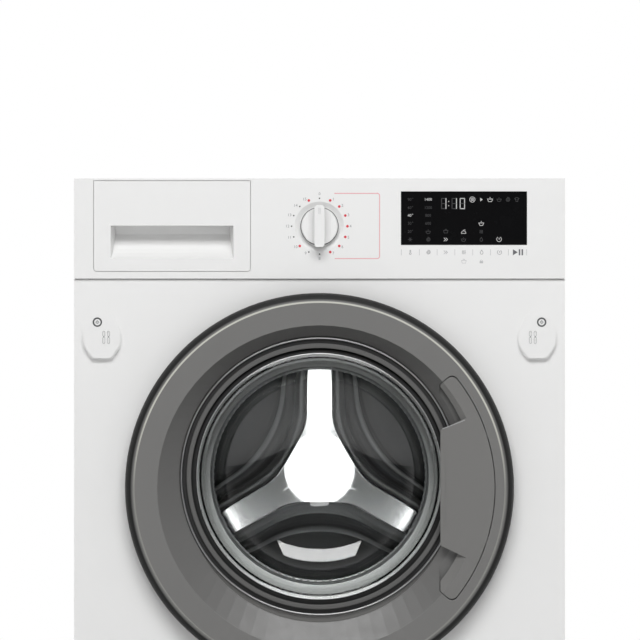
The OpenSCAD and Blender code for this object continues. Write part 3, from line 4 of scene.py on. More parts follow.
import bmesh
import bpy
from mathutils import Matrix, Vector


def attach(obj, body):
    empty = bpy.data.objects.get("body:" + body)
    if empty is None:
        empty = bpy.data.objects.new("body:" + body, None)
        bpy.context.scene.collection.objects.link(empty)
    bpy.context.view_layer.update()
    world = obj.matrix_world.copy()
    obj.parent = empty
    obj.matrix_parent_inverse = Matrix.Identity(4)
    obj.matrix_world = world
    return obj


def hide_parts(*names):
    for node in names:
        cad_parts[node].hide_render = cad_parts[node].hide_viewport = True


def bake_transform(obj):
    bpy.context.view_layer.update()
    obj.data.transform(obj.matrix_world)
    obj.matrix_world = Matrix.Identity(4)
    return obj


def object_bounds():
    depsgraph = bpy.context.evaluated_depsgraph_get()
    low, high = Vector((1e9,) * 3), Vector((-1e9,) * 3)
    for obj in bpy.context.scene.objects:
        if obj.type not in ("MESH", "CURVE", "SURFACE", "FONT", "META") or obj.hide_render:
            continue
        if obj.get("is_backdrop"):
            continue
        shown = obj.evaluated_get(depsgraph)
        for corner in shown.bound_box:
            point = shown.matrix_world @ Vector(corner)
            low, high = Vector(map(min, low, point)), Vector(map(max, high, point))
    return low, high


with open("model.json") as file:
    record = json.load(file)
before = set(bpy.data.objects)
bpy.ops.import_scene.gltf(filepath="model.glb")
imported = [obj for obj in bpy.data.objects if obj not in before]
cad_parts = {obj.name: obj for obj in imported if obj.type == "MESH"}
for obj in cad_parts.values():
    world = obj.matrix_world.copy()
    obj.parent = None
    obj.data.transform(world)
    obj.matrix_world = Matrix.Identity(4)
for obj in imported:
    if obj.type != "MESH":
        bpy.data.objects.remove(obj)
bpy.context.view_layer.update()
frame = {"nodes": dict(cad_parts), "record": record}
nodes = frame["nodes"]
MM = 0.001

# The photograph's scale
PX_MM = 1.218         # one photograph pixel at the front sheet
MIDDLE_PX = 319.5     # column of the machine's middle
TOP_PX = 178.5        # row of its top edge
FRAME_PX = 640        # side of the picture

# Places on the machine
BODY_H = 820.0
FRONT_Y = -240.0      # face of the front sheet
FASCIA_Y = -243.0     # face of the control panel
FACE_Y = -270.0       # face of the door's ring
DRUM_FRONT_Y = -147.0
AXIS_Z = 457.5        # axis of drum, glass and bezel
DOOR_Z = 444.0        # middle of the door's ring
KNOB_Z = 761.8


def at(col, row):
    """Photograph pixel to (x, z) in mm at the front sheet."""
    return (col - MIDDLE_PX) * PX_MM, BODY_H - (row - TOP_PX) * PX_MM


# Camera
CAMERA_FAR = 8000.0   # a long lens, because the photograph shows no perspective
SENSOR = 36.0
cam_x, cam_z = at(FRAME_PX / 2, FRAME_PX / 2)
cam_data = bpy.data.cameras.new("camera")
cam_data.sensor_width = SENSOR
cam_data.lens = SENSOR * CAMERA_FAR / (FRAME_PX * PX_MM)
cam_data.clip_start, cam_data.clip_end = 0.1, 100.0
camera = bpy.data.objects.new("camera", cam_data)
camera.location = (cam_x * MM, (FRONT_Y - CAMERA_FAR) * MM, cam_z * MM)
camera.rotation_euler = (math.pi / 2, 0, 0)
bpy.context.scene.collection.objects.link(camera)
bpy.context.scene.camera = camera
bpy.context.scene.view_settings.view_transform = "Standard"


# Node helpers
class Net:
    """A material's node tree with short names for the nodes used here."""

    def __init__(self, name):
        self.mat = bpy.data.materials.new(name)
        self.mat.use_nodes = True
        self.tree = self.mat.node_tree
        self.tree.nodes.clear()
        self.out = self.add("ShaderNodeOutputMaterial")
        self.main = self.add("ShaderNodeBsdfPrincipled")
        self.link(self.main.outputs[0], self.out.inputs[0])
        self._coords = None

    def add(self, kind, **values):
        n = self.tree.nodes.new(kind)
        for k, v in values.items():
            setattr(n, k, v)
        return n

    def link(self, a, b):
        self.tree.links.new(a, b)

    def put(self, socket, value):
        if isinstance(value, bpy.types.NodeSocket):
            self.link(value, socket)
        else:
            socket.default_value = value

    def set(self, name, value):
        self.put(self.main.inputs[name], value)

    @property
    def coords(self):
        if self._coords is None:
            self._coords = self.add("ShaderNodeTexCoord").outputs["Object"]
        return self._coords

    def math(self, op, a, b=None, clamp=False):
        n = self.add("ShaderNodeMath", operation=op, use_clamp=clamp)
        self.put(n.inputs[0], a)
        if b is not None:
            self.put(n.inputs[1], b)
        return n.outputs[0]

    def parts(self):
        n = self.add("ShaderNodeSeparateXYZ")
        self.link(self.coords, n.inputs[0])
        return n.outputs

    def join(self, x, y, z):
        n = self.add("ShaderNodeCombineXYZ")
        for s, v in zip(n.inputs, (x, y, z)):
            self.put(s, v)
        return n.outputs[0]

    def stretch(self, scale):
        n = self.add("ShaderNodeMapping")
        n.inputs["Scale"].default_value = scale
        self.link(self.coords, n.inputs[0])
        return n.outputs[0]

    def noise(self, scale, detail=2.0, rough=0.5, vec=None):
        n = self.add("ShaderNodeTexNoise")
        n.inputs["Scale"].default_value = scale
        n.inputs["Detail"].default_value = detail
        n.inputs["Roughness"].default_value = rough
        self.link(vec or self.coords, n.inputs["Vector"])
        return n.outputs["Fac"]

    def cells(self, scale, feature="F1", vec=None, output="Distance"):
        n = self.add("ShaderNodeTexVoronoi", feature=feature)
        n.inputs["Scale"].default_value = scale
        self.link(vec or self.coords, n.inputs["Vector"])
        return n.outputs[output]

    def span(self, fac, low, high, to_low=0.0, to_high=1.0):
        n = self.add("ShaderNodeMapRange")
        for s, v in zip(n.inputs, (fac, low, high, to_low, to_high)):
            self.put(s, v)
        return n.outputs[0]

    def mix(self, fac, a, b):
        n = self.add("ShaderNodeMix", data_type="RGBA")
        self.put(n.inputs[0], fac)
        self.put(n.inputs[6], a)
        self.put(n.inputs[7], b)
        return n.outputs[2]

    def bump(self, height, strength, depth, base=None):
        n = self.add("ShaderNodeBump")
        n.inputs["Strength"].default_value = strength
        n.inputs["Distance"].default_value = depth
        self.link(height, n.inputs["Height"])
        if base is not None:
            self.link(base, n.inputs["Normal"])
        return n.outputs[0]


def grey(v):
    return (v, v, v, 1.0)


def shade(colour, factor):
    return tuple(min(1.0, c * factor) for c in colour[:3]) + (1.0,)


def surface(name, colour, rough, tint, grain, gloss=(30.0, 0.04), second=None, metal=0.0, coat=0.0, sheen=0.0,
            level=0.5):
    """A moulded, painted or cast surface: faint colour drift, uneven gloss and a grain in the normal.
    tint and gloss are (per metre, spread), grain is (per metre, strength, depth in mm) and second is another such
    layer under it."""
    n = Net(name)
    drift = n.noise(tint[0], 3.0)
    n.set("Base Color", n.mix(n.span(drift, 0.3, 0.7), shade(colour, 1 - tint[1]), shade(colour, 1 + tint[1])))
    n.set("Roughness", n.span(n.noise(gloss[0], 4.0, 0.6), 0.25, 0.75, rough - gloss[1], rough + gloss[1]))
    n.set("Metallic", metal)
    n.set("Coat Weight", coat)
    n.set("Sheen Weight", sheen)
    n.set("Specular IOR Level", level)
    base = None
    if second:
        base = n.bump(n.noise(second[0], 3.0), second[1], second[2] * MM)
    n.set("Normal", n.bump(n.noise(grain[0], 2.0, 0.6), grain[1], grain[2] * MM, base))
    return n


# Materials
WHITE = (0.80, 0.80, 0.795)
SURFACES = {
    "white_enamel": dict(colour=WHITE, rough=0.52, level=0.3, tint=(1.5, 0.008), gloss=(14, 0.03),
                         grain=(420, 0.10, 0.12), second=(90, 0.05, 0.3)),
    "white_plastic": dict(colour=WHITE, rough=0.42, tint=(4, 0.008), gloss=(40, 0.04), grain=(2600, 0.12, 0.05)),
    "light_plastic": dict(colour=(0.62, 0.62, 0.60), rough=0.5, tint=(14, 0.05), gloss=(60, 0.08),
                          grain=(1500, 0.2, 0.06), second=(60, 0.1, 0.4)),
    "grey_plastic": dict(colour=(0.165, 0.163, 0.158), rough=0.44, tint=(6, 0.02), gloss=(50, 0.05),
                         grain=(2200, 0.18, 0.06)),
    "dark_plastic": dict(colour=(0.045, 0.045, 0.046), rough=0.4, tint=(8, 0.04), gloss=(50, 0.05),
                         grain=(1900, 0.2, 0.06)),
    "blue_plastic": dict(colour=(0.05, 0.18, 0.52), rough=0.3, coat=0.2, tint=(20, 0.05), grain=(1800, 0.1, 0.05)),
    "grey_rubber": dict(colour=(0.23, 0.235, 0.235), rough=0.55, sheen=0.15, tint=(18, 0.05), gloss=(70, 0.08),
                        grain=(1500, 0.25, 0.08), second=(160, 0.12, 0.3)),
    "lip_rubber": dict(colour=(0.38, 0.38, 0.375), rough=0.6, tint=(12, 0.02), gloss=(50, 0.04),
                       grain=(1500, 0.1, 0.05)),
    "lifter_plastic": dict(colour=(0.30, 0.30, 0.295), rough=0.5, tint=(12, 0.03), gloss=(50, 0.05),
                           grain=(1500, 0.15, 0.05)),
    "black_rubber": dict(colour=(0.02, 0.02, 0.021), rough=0.62, sheen=0.2, tint=(18, 0.1), gloss=(70, 0.08),
                         grain=(1700, 0.3, 0.08)),
    "spring_steel": dict(colour=(0.42, 0.42, 0.44), rough=0.32, metal=1.0, tint=(40, 0.08), gloss=(120, 0.09),
                         grain=(1400, 0.15, 0.05)),
    "cast_aluminium": dict(colour=(0.55, 0.56, 0.57), rough=0.46, metal=1.0, tint=(25, 0.06), gloss=(80, 0.1),
                           grain=(650, 0.35, 0.2), second=(2500, 0.2, 0.05)),
    # a bright bead that stands for the highlight on the glass's edge: painted highlight
    "highlight_bead": dict(colour=(0.72, 0.725, 0.73), rough=0.3, metal=1.0, tint=(30, 0.03), gloss=(90, 0.05),
                        grain=(1400, 0.06, 0.05)),
}
mats = {name: surface(name, **look).mat for name, look in SURFACES.items()}

FLAKES = 120          # zinc flakes in a metre


def galvanised(name, dark, light):
    """Zinc-coated sheet with its flakes, between two greys."""
    n = Net(name)
    flake = n.cells(FLAKES, output="Color")
    tone = n.add("ShaderNodeSeparateColor")
    n.link(flake, tone.inputs[0])
    low, high = ((v, v, v * 1.03, 1) for v in (dark, light))
    n.set("Base Color", n.mix(tone.outputs[0], low, high))
    n.set("Roughness", n.span(tone.outputs[1], 0, 1, 0.38, 0.5))
    n.set("Metallic", 0.85)
    seams = n.cells(FLAKES, feature="DISTANCE_TO_EDGE")
    n.set("Normal", n.bump(n.span(seams, 0.0, 0.05), 0.08, 0.1 * MM, n.bump(n.noise(900, 3), 0.06, 0.1 * MM)))
    return n.mat


def concrete():
    n = Net("concrete")
    big, small = n.noise(22, 5, 0.65), n.noise(380, 4, 0.7)
    pores = n.span(n.cells(260), 0.0, 0.22)
    body = n.mix(n.span(big, 0.3, 0.7), (0.33, 0.325, 0.31, 1), (0.46, 0.45, 0.43, 1))
    body = n.mix(n.span(small, 0.35, 0.65, 0.0, 0.35), body, (0.25, 0.245, 0.235, 1))
    n.set("Base Color", n.mix(pores, (0.16, 0.155, 0.15, 1), body))
    n.set("Roughness", 0.88)
    n.set("Normal", n.bump(pores, 0.5, 0.6 * MM, n.bump(small, 0.5, 0.4 * MM)))
    return n.mat


def circuit_board():
    n = Net("circuit_board")
    tracks = n.cells(230, feature="DISTANCE_TO_EDGE", vec=n.stretch((1.0, 0.05, 0.35)))
    line = n.span(tracks, 0.02, 0.05)
    pads = n.span(n.cells(420), 0.16, 0.2)
    green = n.mix(n.noise(40), (0.012, 0.085, 0.04, 1), (0.02, 0.12, 0.055, 1))
    green = n.mix(line, (0.05, 0.22, 0.09, 1), green)
    n.set("Base Color", n.mix(pads, (0.62, 0.6, 0.55, 1), green))
    n.set("Roughness", 0.32)
    n.set("Coat Weight", 0.4)
    n.set("Normal", n.bump(line, 0.25, 0.08 * MM))
    return n.mat


def display_black():
    n = Net("display_black")
    haze = n.noise(30, 5, 0.7)
    n.set("Base Color", n.mix(haze, (0.003, 0.003, 0.0034, 1), (0.0045, 0.0045, 0.005, 1)))
    n.set("Roughness", n.span(haze, 0.3, 0.7, 0.22, 0.3))
    n.set("Specular IOR Level", 0.06)
    n.set("Normal", n.bump(n.noise(220), 0.02, 0.05 * MM))
    return n.mat


def polar(n):
    """(turn in radians, radius in m, depth in m) about the drum's axis."""
    x, y, z = n.parts()
    up = n.math("SUBTRACT", z, AXIS_Z * MM)
    turn = n.math("ARCTAN2", up, x)
    radius = n.math("SQRT", n.math("ADD", n.math("MULTIPLY", x, x), n.math("MULTIPLY", up, up)))
    return turn, radius, y


# Holes of the drum's wall: spacing round and along it, radius, and where they lie
WALL_R = 236.0
HOLE_ROUND, HOLE_ALONG = 13.2, 11.0
HOLE_R = 1.55
HOLES_FROM_R = 230.0
HOLES_Y = (-125.0, 115.0)


def drum_steel(name, holes=False):
    """Stainless sheet brushed round the drum's axis, satin at its front, with the rows of holes of a drum wall."""
    n = Net(name)
    turn, radius, depth = polar(n)
    fine = n.join(n.math("MULTIPLY", turn, 0.6), n.math("MULTIPLY", radius, 9.0), n.math("MULTIPLY", depth, 9.0))
    brushed = n.noise(260, 4, 0.6, vec=fine)
    tone = n.noise(9, 3)
    colour = n.mix(brushed, (0.56, 0.565, 0.57, 1), (0.68, 0.685, 0.69, 1))
    colour = n.mix(n.span(tone, 0.3, 0.7, 0.0, 0.25), colour, (0.5, 0.505, 0.51, 1))
    rough = n.span(brushed, 0.2, 0.8, 0.16, 0.27)
    front = n.math("LESS_THAN", depth, DRUM_FRONT_Y * MM)
    colour = n.mix(front, colour, (0.3, 0.302, 0.305, 1))
    rough = n.math("ADD", rough, n.math("MULTIPLY", front, 0.2))
    if holes:
        u = n.math("DIVIDE", n.math("MULTIPLY", turn, WALL_R * MM), HOLE_ROUND * MM)
        v = n.math("DIVIDE", depth, HOLE_ALONG * MM)
        row = n.math("FLOOR", v)
        shift = n.math("MULTIPLY", n.math("MODULO", n.math("ABSOLUTE", row), 2.0), 0.5)
        du = n.math("MULTIPLY", n.math("SUBTRACT", n.math("FRACT", n.math("ADD", u, shift)), 0.5), HOLE_ROUND)
        dv = n.math("MULTIPLY", n.math("SUBTRACT", n.math("FRACT", v), 0.5), HOLE_ALONG)
        far = n.math("SQRT", n.math("ADD", n.math("MULTIPLY", du, du), n.math("MULTIPLY", dv, dv)))
        wall = n.math("MULTIPLY", n.math("GREATER_THAN", radius, HOLES_FROM_R * MM),
                      n.math("LESS_THAN", depth, HOLES_Y[1] * MM))
        wall = n.math("MULTIPLY", wall, n.math("GREATER_THAN", depth, HOLES_Y[0] * MM))
        hole = n.math("MULTIPLY", n.math("LESS_THAN", far, HOLE_R), wall)
        rim = n.math("MULTIPLY", n.span(far, 1.5, 3.2, 0.0, 1.0), wall)
        colour = n.mix(hole, colour, grey(0.012))
        rough = n.math("ADD", rough, n.math("MULTIPLY", hole, 0.5), clamp=True)
        n.set("Normal", n.bump(rim, 0.35, 0.8 * MM, n.bump(brushed, 0.05, 0.05 * MM)))
    else:
        n.set("Normal", n.bump(brushed, 0.05, 0.05 * MM))
    n.set("Base Color", colour)
    n.set("Roughness", rough)
    n.set("Metallic", 1.0)
    return n.mat


def bright_trim():
    n = Net("bright_trim")
    turn, radius, depth = polar(n)
    fine = n.join(n.math("MULTIPLY", turn, 0.3), n.math("MULTIPLY", radius, 8.0), n.math("MULTIPLY", depth, 8.0))
    brushed = n.noise(400, 3, vec=fine)
    n.set("Base Color", n.mix(brushed, (0.42, 0.422, 0.425, 1), (0.5, 0.502, 0.505, 1)))
    n.set("Roughness", n.span(brushed, 0.2, 0.8, 0.3, 0.38))
    n.set("Metallic", 1.0)
    n.set("Normal", n.bump(brushed, 0.03, 0.05 * MM))
    return n.mat


def bowl_glass():
    """Clear glass that lets lamps through to the drum."""
    n = Net("bowl_glass")
    wave = n.noise(26, 3, 0.5)
    n.set("Base Color", n.mix(wave, (0.955, 0.975, 0.97, 1), (0.975, 0.985, 0.98, 1)))
    n.set("Roughness", 0.0)
    n.set("IOR", 1.47)
    n.set("Transmission Weight", 1.0)
    clear = n.add("ShaderNodeBsdfTransparent")
    clear.inputs[0].default_value = (0.93, 0.95, 0.945, 1)
    choose = n.add("ShaderNodeMixShader")
    n.link(n.add("ShaderNodeLightPath").outputs["Is Shadow Ray"], choose.inputs[0])
    n.link(n.main.outputs[0], choose.inputs[1])
    n.link(clear.outputs[0], choose.inputs[2])
    n.link(choose.outputs[0], n.out.inputs[0])
    return n.mat


# Radii on the door's ring
RIM_R = 227.2         # its rounded rim starts here
HIGHLIGHT_R = 225.4        # middle of the painted highlight, a fine pale line inside the rim
HIGHLIGHT_HALF = 0.75
RECESS_R = 212.0


def ring_plastic():
    """Grey satin ring with a near-black rim, a fine pale line inside it painted as a highlight that is brighter
    towards the top, and a satin recess with painted shade: darker than the face and darker still towards its top.
    """
    n = Net("ring_plastic")
    x, y, z = n.parts()
    up = n.math("SUBTRACT", z, DOOR_Z * MM)
    radius = n.math("SQRT", n.math("ADD", n.math("MULTIPLY", x, x), n.math("MULTIPLY", up, up)))
    drift = n.noise(6, 3)
    colour = n.mix(drift, (0.158, 0.157, 0.153, 1), (0.172, 0.17, 0.166, 1))
    inner = n.math("MULTIPLY", n.math("LESS_THAN", radius, RECESS_R * MM),
                   n.math("GREATER_THAN", y, (FACE_Y + 0.3) * MM))
    # painted shade: the recess is darker than the face and darker still towards its top, as if lit from above
    recess_shade = n.mix(n.span(up, -0.06, 0.17), (0.135, 0.134, 0.131, 1), (0.078, 0.077, 0.075, 1))
    colour = n.mix(inner, colour, recess_shade)
    rim = n.span(radius, (RIM_R - 0.2) * MM, (RIM_R + 2.5) * MM)
    colour = n.mix(rim, colour, (0.018, 0.018, 0.018, 1))
    # painted highlight: a fine pale line inside the rim, brighter towards the top as if catching light from above
    off = n.math("ABSOLUTE", n.math("SUBTRACT", radius, HIGHLIGHT_R * MM))
    line = n.span(off, HIGHLIGHT_HALF * MM, (HIGHLIGHT_HALF + 0.5) * MM, 1.0, 0.0)
    line = n.math("MULTIPLY", line, n.span(up, 0.0, 0.09, 0.25, 1.0))
    colour = n.mix(line, colour, (0.52, 0.52, 0.47, 1))
    n.set("Base Color", colour)
    gloss = n.span(n.noise(50, 4, 0.6), 0.25, 0.75, 0.4, 0.5)
    n.set("Roughness", n.math("SUBTRACT", gloss, n.math("MULTIPLY", inner, 0.12)))
    n.set("Specular IOR Level", n.math("SUBTRACT", 0.4, n.math("MULTIPLY", rim, 0.25)))
    n.set("Normal", n.bump(n.noise(2200, 2, 0.6), 0.12, 0.05 * MM))
    return n.mat


mats["ring_plastic"] = ring_plastic()
mats["galvanised_steel"] = galvanised("galvanised_steel", 0.55, 0.63)
mats["galvanised_cover"] = galvanised("galvanised_cover", 0.44, 0.5)
mats["concrete"] = concrete()
mats["circuit_board"] = circuit_board()
mats["display_black"] = display_black()
mats["drum_steel"] = drum_steel("drum_steel")
mats["drum_wall"] = drum_steel("drum_wall", holes=True)
mats["bright_trim"] = bright_trim()
mats["bowl_glass"] = bowl_glass()

# Each CAD node gets its slot's material, or one of its own
slots = {s["node"]: s["material_slot"] for s in frame["record"]["subparts"]}
own = {"drum_shell": "drum_wall", "drum_lifters": "lifter_plastic", "door_ring": "ring_plastic",
       "door_back_frame": "grey_plastic", "cover_screws": "white_plastic", "rear_cover": "galvanised_cover"}
for name, obj in nodes.items():
    mat = mats[own.get(name, slots[name])]
    if not obj.material_slots:
        obj.data.materials.append(mat)
    for s in obj.material_slots:
        s.material = mat


def print_ink(name, colour, glow=0.0, rough=0.45):
    """Ink, a lit symbol, or a line of painted shadow, shade or highlight: an even film with a faint grain."""
    n = Net(name)
    spots = n.noise(1800, 2)
    n.set("Base Color", n.mix(spots, shade(colour, 0.94), shade(colour, 1.06)))
    n.set("Roughness", rough)
    if glow:
        n.set("Emission Color", tuple(colour[:3]) + (1.0,))
        n.set("Emission Strength", glow)
    n.set("Normal", n.bump(n.noise(2600, 2), 0.05, 0.03 * MM))
    return n.mat


ink_dark = print_ink("ink_dark", (0.075, 0.075, 0.08))
ink_grey = print_ink("ink_grey", (0.27, 0.27, 0.285))
ink_pale = print_ink("ink_pale", (0.47, 0.47, 0.48))
ink_red = print_ink("ink_red", (0.66, 0.035, 0.055))
ink_rose = print_ink("ink_rose", (0.74, 0.33, 0.36))
ink_start = print_ink("ink_start", (0.13, 0.13, 0.14))
# painted shadow, and lines of painted shade and painted highlight, drawn as films like the inks
ink_shadow = print_ink("ink_shadow", (0.085, 0.088, 0.09), rough=0.6)
shade_and_highlight_line = print_ink("shade_and_highlight_line", (0.38, 0.39, 0.39), rough=0.6)
lit = print_ink("symbol_lit", (0.5, 0.5, 0.5), glow=0.14)
dim = print_ink("symbol_dim", (0.035, 0.035, 0.037))


# Drawing flat marks
SUNK = 0.02           # films reach this far under the surface that carries them
MERGE = 2e-6          # points nearer than this, in m, are one
FONT_SCALE = 1.4      # font size for a digit of height 1


def ribbon(points, width, closed=False):
    """Four-cornered loops that make a line of that width through the points, mitred at its bends."""
    pts = [Vector(p) for p in points]
    n = len(pts)
    sides = []
    for i, p in enumerate(pts):
        before = pts[i - 1] if (i or closed) else None
        after = pts[(i + 1) % n] if (i < n - 1 or closed) else None
        ways = [(p - before).normalized()] if before is not None else []
        ways += [(after - p).normalized()] if after is not None else []
        way = sum(ways, Vector((0, 0)))
        way = way.normalized() if way.length > 1e-6 else ways[0]
        normal = Vector((-way.y, way.x))
        reach = width / 2 / max(0.5, abs(Vector((-ways[0].y, ways[0].x)).dot(normal)))
        sides.append((p + normal * reach, p - normal * reach))
    pairs = list(zip(sides, sides[1:])) + ([(sides[-1], sides[0])] if closed else [])
    return [[a[0], b[0], b[1], a[1]] for a, b in pairs]


def arc(x, z, r, start, end, steps=None):
    """Points on a circle, angles in degrees from +x towards +z."""
    steps = steps or max(4, int(abs(end - start) / 8))
    return [(x + r * math.cos(math.radians(start + (end - start) * i / steps)),
             z + r * math.sin(math.radians(start + (end - start) * i / steps))) for i in range(steps + 1)]


def disc(x, z, r, steps=24):
    return [arc(x, z, r, 0, 360, steps)[:-1]]


def rect(x0, z0, x1, z1):
    return [[(x0, z0), (x1, z0), (x1, z1), (x0, z1)]]


def finish_mesh(bm, name, body, mat, smooth=False):
    mesh = bpy.data.meshes.new(name)
    bmesh.ops.recalc_face_normals(bm, faces=bm.faces)
    bm.to_mesh(mesh)
    bm.free()
    obj = bpy.data.objects.new(name, mesh)
    bpy.context.scene.collection.objects.link(obj)
    mesh.materials.append(mat)
    if smooth:
        mesh.shade_smooth()
    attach(obj, body)
    return obj


def marks(name, loops, y, body, mat, proud=0.08):
    """Closed outlines in mm as a thin film on a surface at y."""
    bm = bmesh.new()
    for loop in loops:
        bm.faces.new([bm.verts.new((p[0] * MM, (y - proud) * MM, p[1] * MM)) for p in loop])
    bmesh.ops.remove_doubles(bm, verts=bm.verts, dist=MERGE)
    grown = bmesh.ops.extrude_face_region(bm, geom=list(bm.faces))
    bmesh.ops.translate(bm, verts=[v for v in grown["geom"] if isinstance(v, bmesh.types.BMVert)],
                        vec=(0, (proud + SUNK) * MM, 0))
    return finish_mesh(bm, name, body, mat)


def words(items, y, proud=0.08):
    """A bmesh of upright numbers: items are (text, x, z, height in mm, align)."""
    bm = bmesh.new()
    for text, x, z, size, align in items:
        curve = bpy.data.curves.new("number", "FONT")
        curve.body = text
        curve.size = size * FONT_SCALE * MM
        curve.align_x = align
        curve.align_y = "CENTER"
        curve.extrude = proud * MM / 2
        curve.resolution_u = 3
        holder = bpy.data.objects.new("number", curve)
        bpy.context.scene.collection.objects.link(holder)
        holder.rotation_euler = (math.pi / 2, 0, 0)
        holder.location = (x * MM, (y - proud / 2) * MM, z * MM)
        bpy.context.view_layer.update()
        mesh = bpy.data.meshes.new_from_object(holder.evaluated_get(bpy.context.evaluated_depsgraph_get()))
        mesh.transform(holder.matrix_world)
        bm.from_mesh(mesh)
        bpy.data.objects.remove(holder)
        bpy.data.meshes.remove(mesh)
    return bm


# Dial round the knob: a dot and a number at each step, the first one at the top
STEPS = 16
DOT_R, RED_DOT_R, DARK_DOT_R = 34.0, 1.6, 0.95
RED_STEPS = (1, 2, 3, 4, 5, 6, 7, 10, 15)
NUMBER_H = 3.5
NUMBER_OUT, NUMBER_LIFT = 2.6, 1.6    # from its dot, at the sides
NUMBER_UP = 5.4                       # from its dot, over and under the knob
red_dots, dark_dots, numbers = [], [], []
for step in range(STEPS):
    a = math.radians(90 - 360 / STEPS * step)
    x, z = DOT_R * math.cos(a), KNOB_Z + DOT_R * math.sin(a)
    if step in RED_STEPS:
        red_dots += disc(x, z, RED_DOT_R)
    else:
        dark_dots += disc(x, z, DARK_DOT_R)
    if step % (STEPS // 2) == 0:
        numbers.append((str(step), x, z + math.copysign(NUMBER_UP, math.sin(a)), NUMBER_H, "CENTER"))
    else:
        numbers.append((str(step), x + math.copysign(NUMBER_OUT, math.cos(a)), z + NUMBER_LIFT * math.sin(a), NUMBER_H,
                        "LEFT" if step < STEPS // 2 else "RIGHT"))
marks("dial_dots_red", red_dots, FASCIA_Y, "cabinet", ink_red)
marks("dial_dots_dark", dark_dots, FASCIA_Y, "cabinet", ink_dark)
finish_mesh(words(numbers, FASCIA_Y), "dial_numbers", "cabinet", ink_grey)

# Pale bracket at the right of the dial
BRACKET_TOP_PX = (334.3, 193.4)       # its upper end
BRACKET_LOW_PX = (334.7, 258.6)       # its lower end
BRACKET_SIDE_PX = 379.6
BRACKET_W, BRACKET_CORNER = 0.95, 3.0
upper, lower = at(*BRACKET_TOP_PX), at(*BRACKET_LOW_PX)
turn_x = at(BRACKET_SIDE_PX, 0)[0] - BRACKET_CORNER
marks("dial_bracket", ribbon([upper, (turn_x, upper[1])]
                             + arc(turn_x, upper[1] - BRACKET_CORNER, BRACKET_CORNER, 90, 0, 6)
                             + arc(turn_x, lower[1] + BRACKET_CORNER, BRACKET_CORNER, 0, -90, 6) + [lower], BRACKET_W),
      FASCIA_Y, "cabinet", ink_rose)


# Display symbols
def icon(kind, x, z, r, w):
    """A generic pictogram of half-width r, drawn with lines of width w."""
    out = []

    def line(points, closed=False):
        out.extend(ribbon([(x + px * r, z + pz * r) for px, pz in points], w, closed))

    def ring(cx, cz, cr, a0=0, a1=360):
        closed = a1 - a0 == 360
        points = arc(cx, cz, cr, a0, a1)
        line(points[:-1] if closed else points, closed)

    if kind == "play":
        out.append([(x - 0.7 * r, z + r), (x + 0.8 * r, z), (x - 0.7 * r, z - r)])
    elif kind == "pause":
        out.extend(rect(x - 0.65 * r, z - r, x - 0.15 * r, z + r) + rect(x + 0.25 * r, z - r, x + 0.75 * r, z + r))
    elif kind == "drum":
        ring(0, 0, 0.95)
        for s in (-0.4, 0.0, 0.4):
            line([(-0.55, s - 0.15), (0, s + 0.12), (0.55, s - 0.15)])
    elif kind == "tub":
        line([(-1, 0.35), (-0.72, -0.55), (-0.4, -0.8), (0.4, -0.8), (0.72, -0.55), (1, 0.35)])
        line([(-0.75, 0.1), (-0.35, 0.3), (0, 0.08), (0.38, 0.3), (0.78, 0.1)])
        line([(0, 0.45), (0, 0.95)])
    elif kind == "spin":
        line([((0.1 + 0.85 * k / 40) * math.cos(k * 0.36), (0.1 + 0.85 * k / 40) * math.sin(k * 0.36))
              for k in range(41)])
    elif kind == "shirt":
        line([(-0.35, 0.85), (-0.95, 0.45), (-0.65, 0.05), (-0.42, 0.2), (-0.42, -0.85), (0.42, -0.85), (0.42, 0.2),
              (0.65, 0.05), (0.95, 0.45), (0.35, 0.85)], True)
    elif kind == "steam":
        for s in (-0.5, 0.05, 0.6):
            line([(s, -0.8), (s - 0.18, -0.4), (s + 0.12, 0.0), (s - 0.18, 0.4), (s + 0.05, 0.8)])
    elif kind == "iron":
        line([(-0.95, -0.7), (0.95, -0.7), (0.72, 0.1), (0.1, 0.35), (-0.35, 0.3)])
        line([(-0.95, -0.7), (-0.75, -0.1), (-0.3, 0.3), (0.3, 0.75), (0.75, 0.65)])
    elif kind == "drop":
        line([(0, 0.95), (0.45, 0.25), (0.62, -0.2), (0.45, -0.65), (0, -0.85), (-0.45, -0.65), (-0.62, -0.2),
              (-0.45, 0.25)], True)
    elif kind == "lock":
        out.extend(rect(x - 0.7 * r, z - 0.85 * r, x + 0.7 * r, z + 0.05 * r))
        ring(0, 0.05, 0.45, 0, 180)
    elif kind == "clock":
        ring(0, 0, 0.9, 120, 425)
        line([(0, 0.55), (0, 0), (0.4, 0.2)])
    elif kind == "snow":
        for k in range(3):
            a = math.pi * k / 3
            line([(-math.cos(a), -math.sin(a)), (math.cos(a), math.sin(a))])
    elif kind == "thermo":
        line([(-0.18, 0.9), (0.18, 0.9), (0.18, -0.3), (0.42, -0.6), (0.18, -0.95), (-0.18, -0.95), (-0.42, -0.6),
              (-0.18, -0.3)], True)
    elif kind == "quick":
        line([(-0.9, 0.7), (-0.2, 0), (-0.9, -0.7)])
        line([(-0.1, 0.7), (0.6, 0), (-0.1, -0.7)])
    elif kind == "basket":
        line([(-0.95, 0.3), (0.95, 0.3), (0.7, -0.8), (-0.7, -0.8)], True)
        line([(-0.5, 0.3), (-0.15, 0.85), (0.15, 0.85), (0.5, 0.3)])
    return out


SEGMENTS = {"0": "abcdef", "1": "bc"}


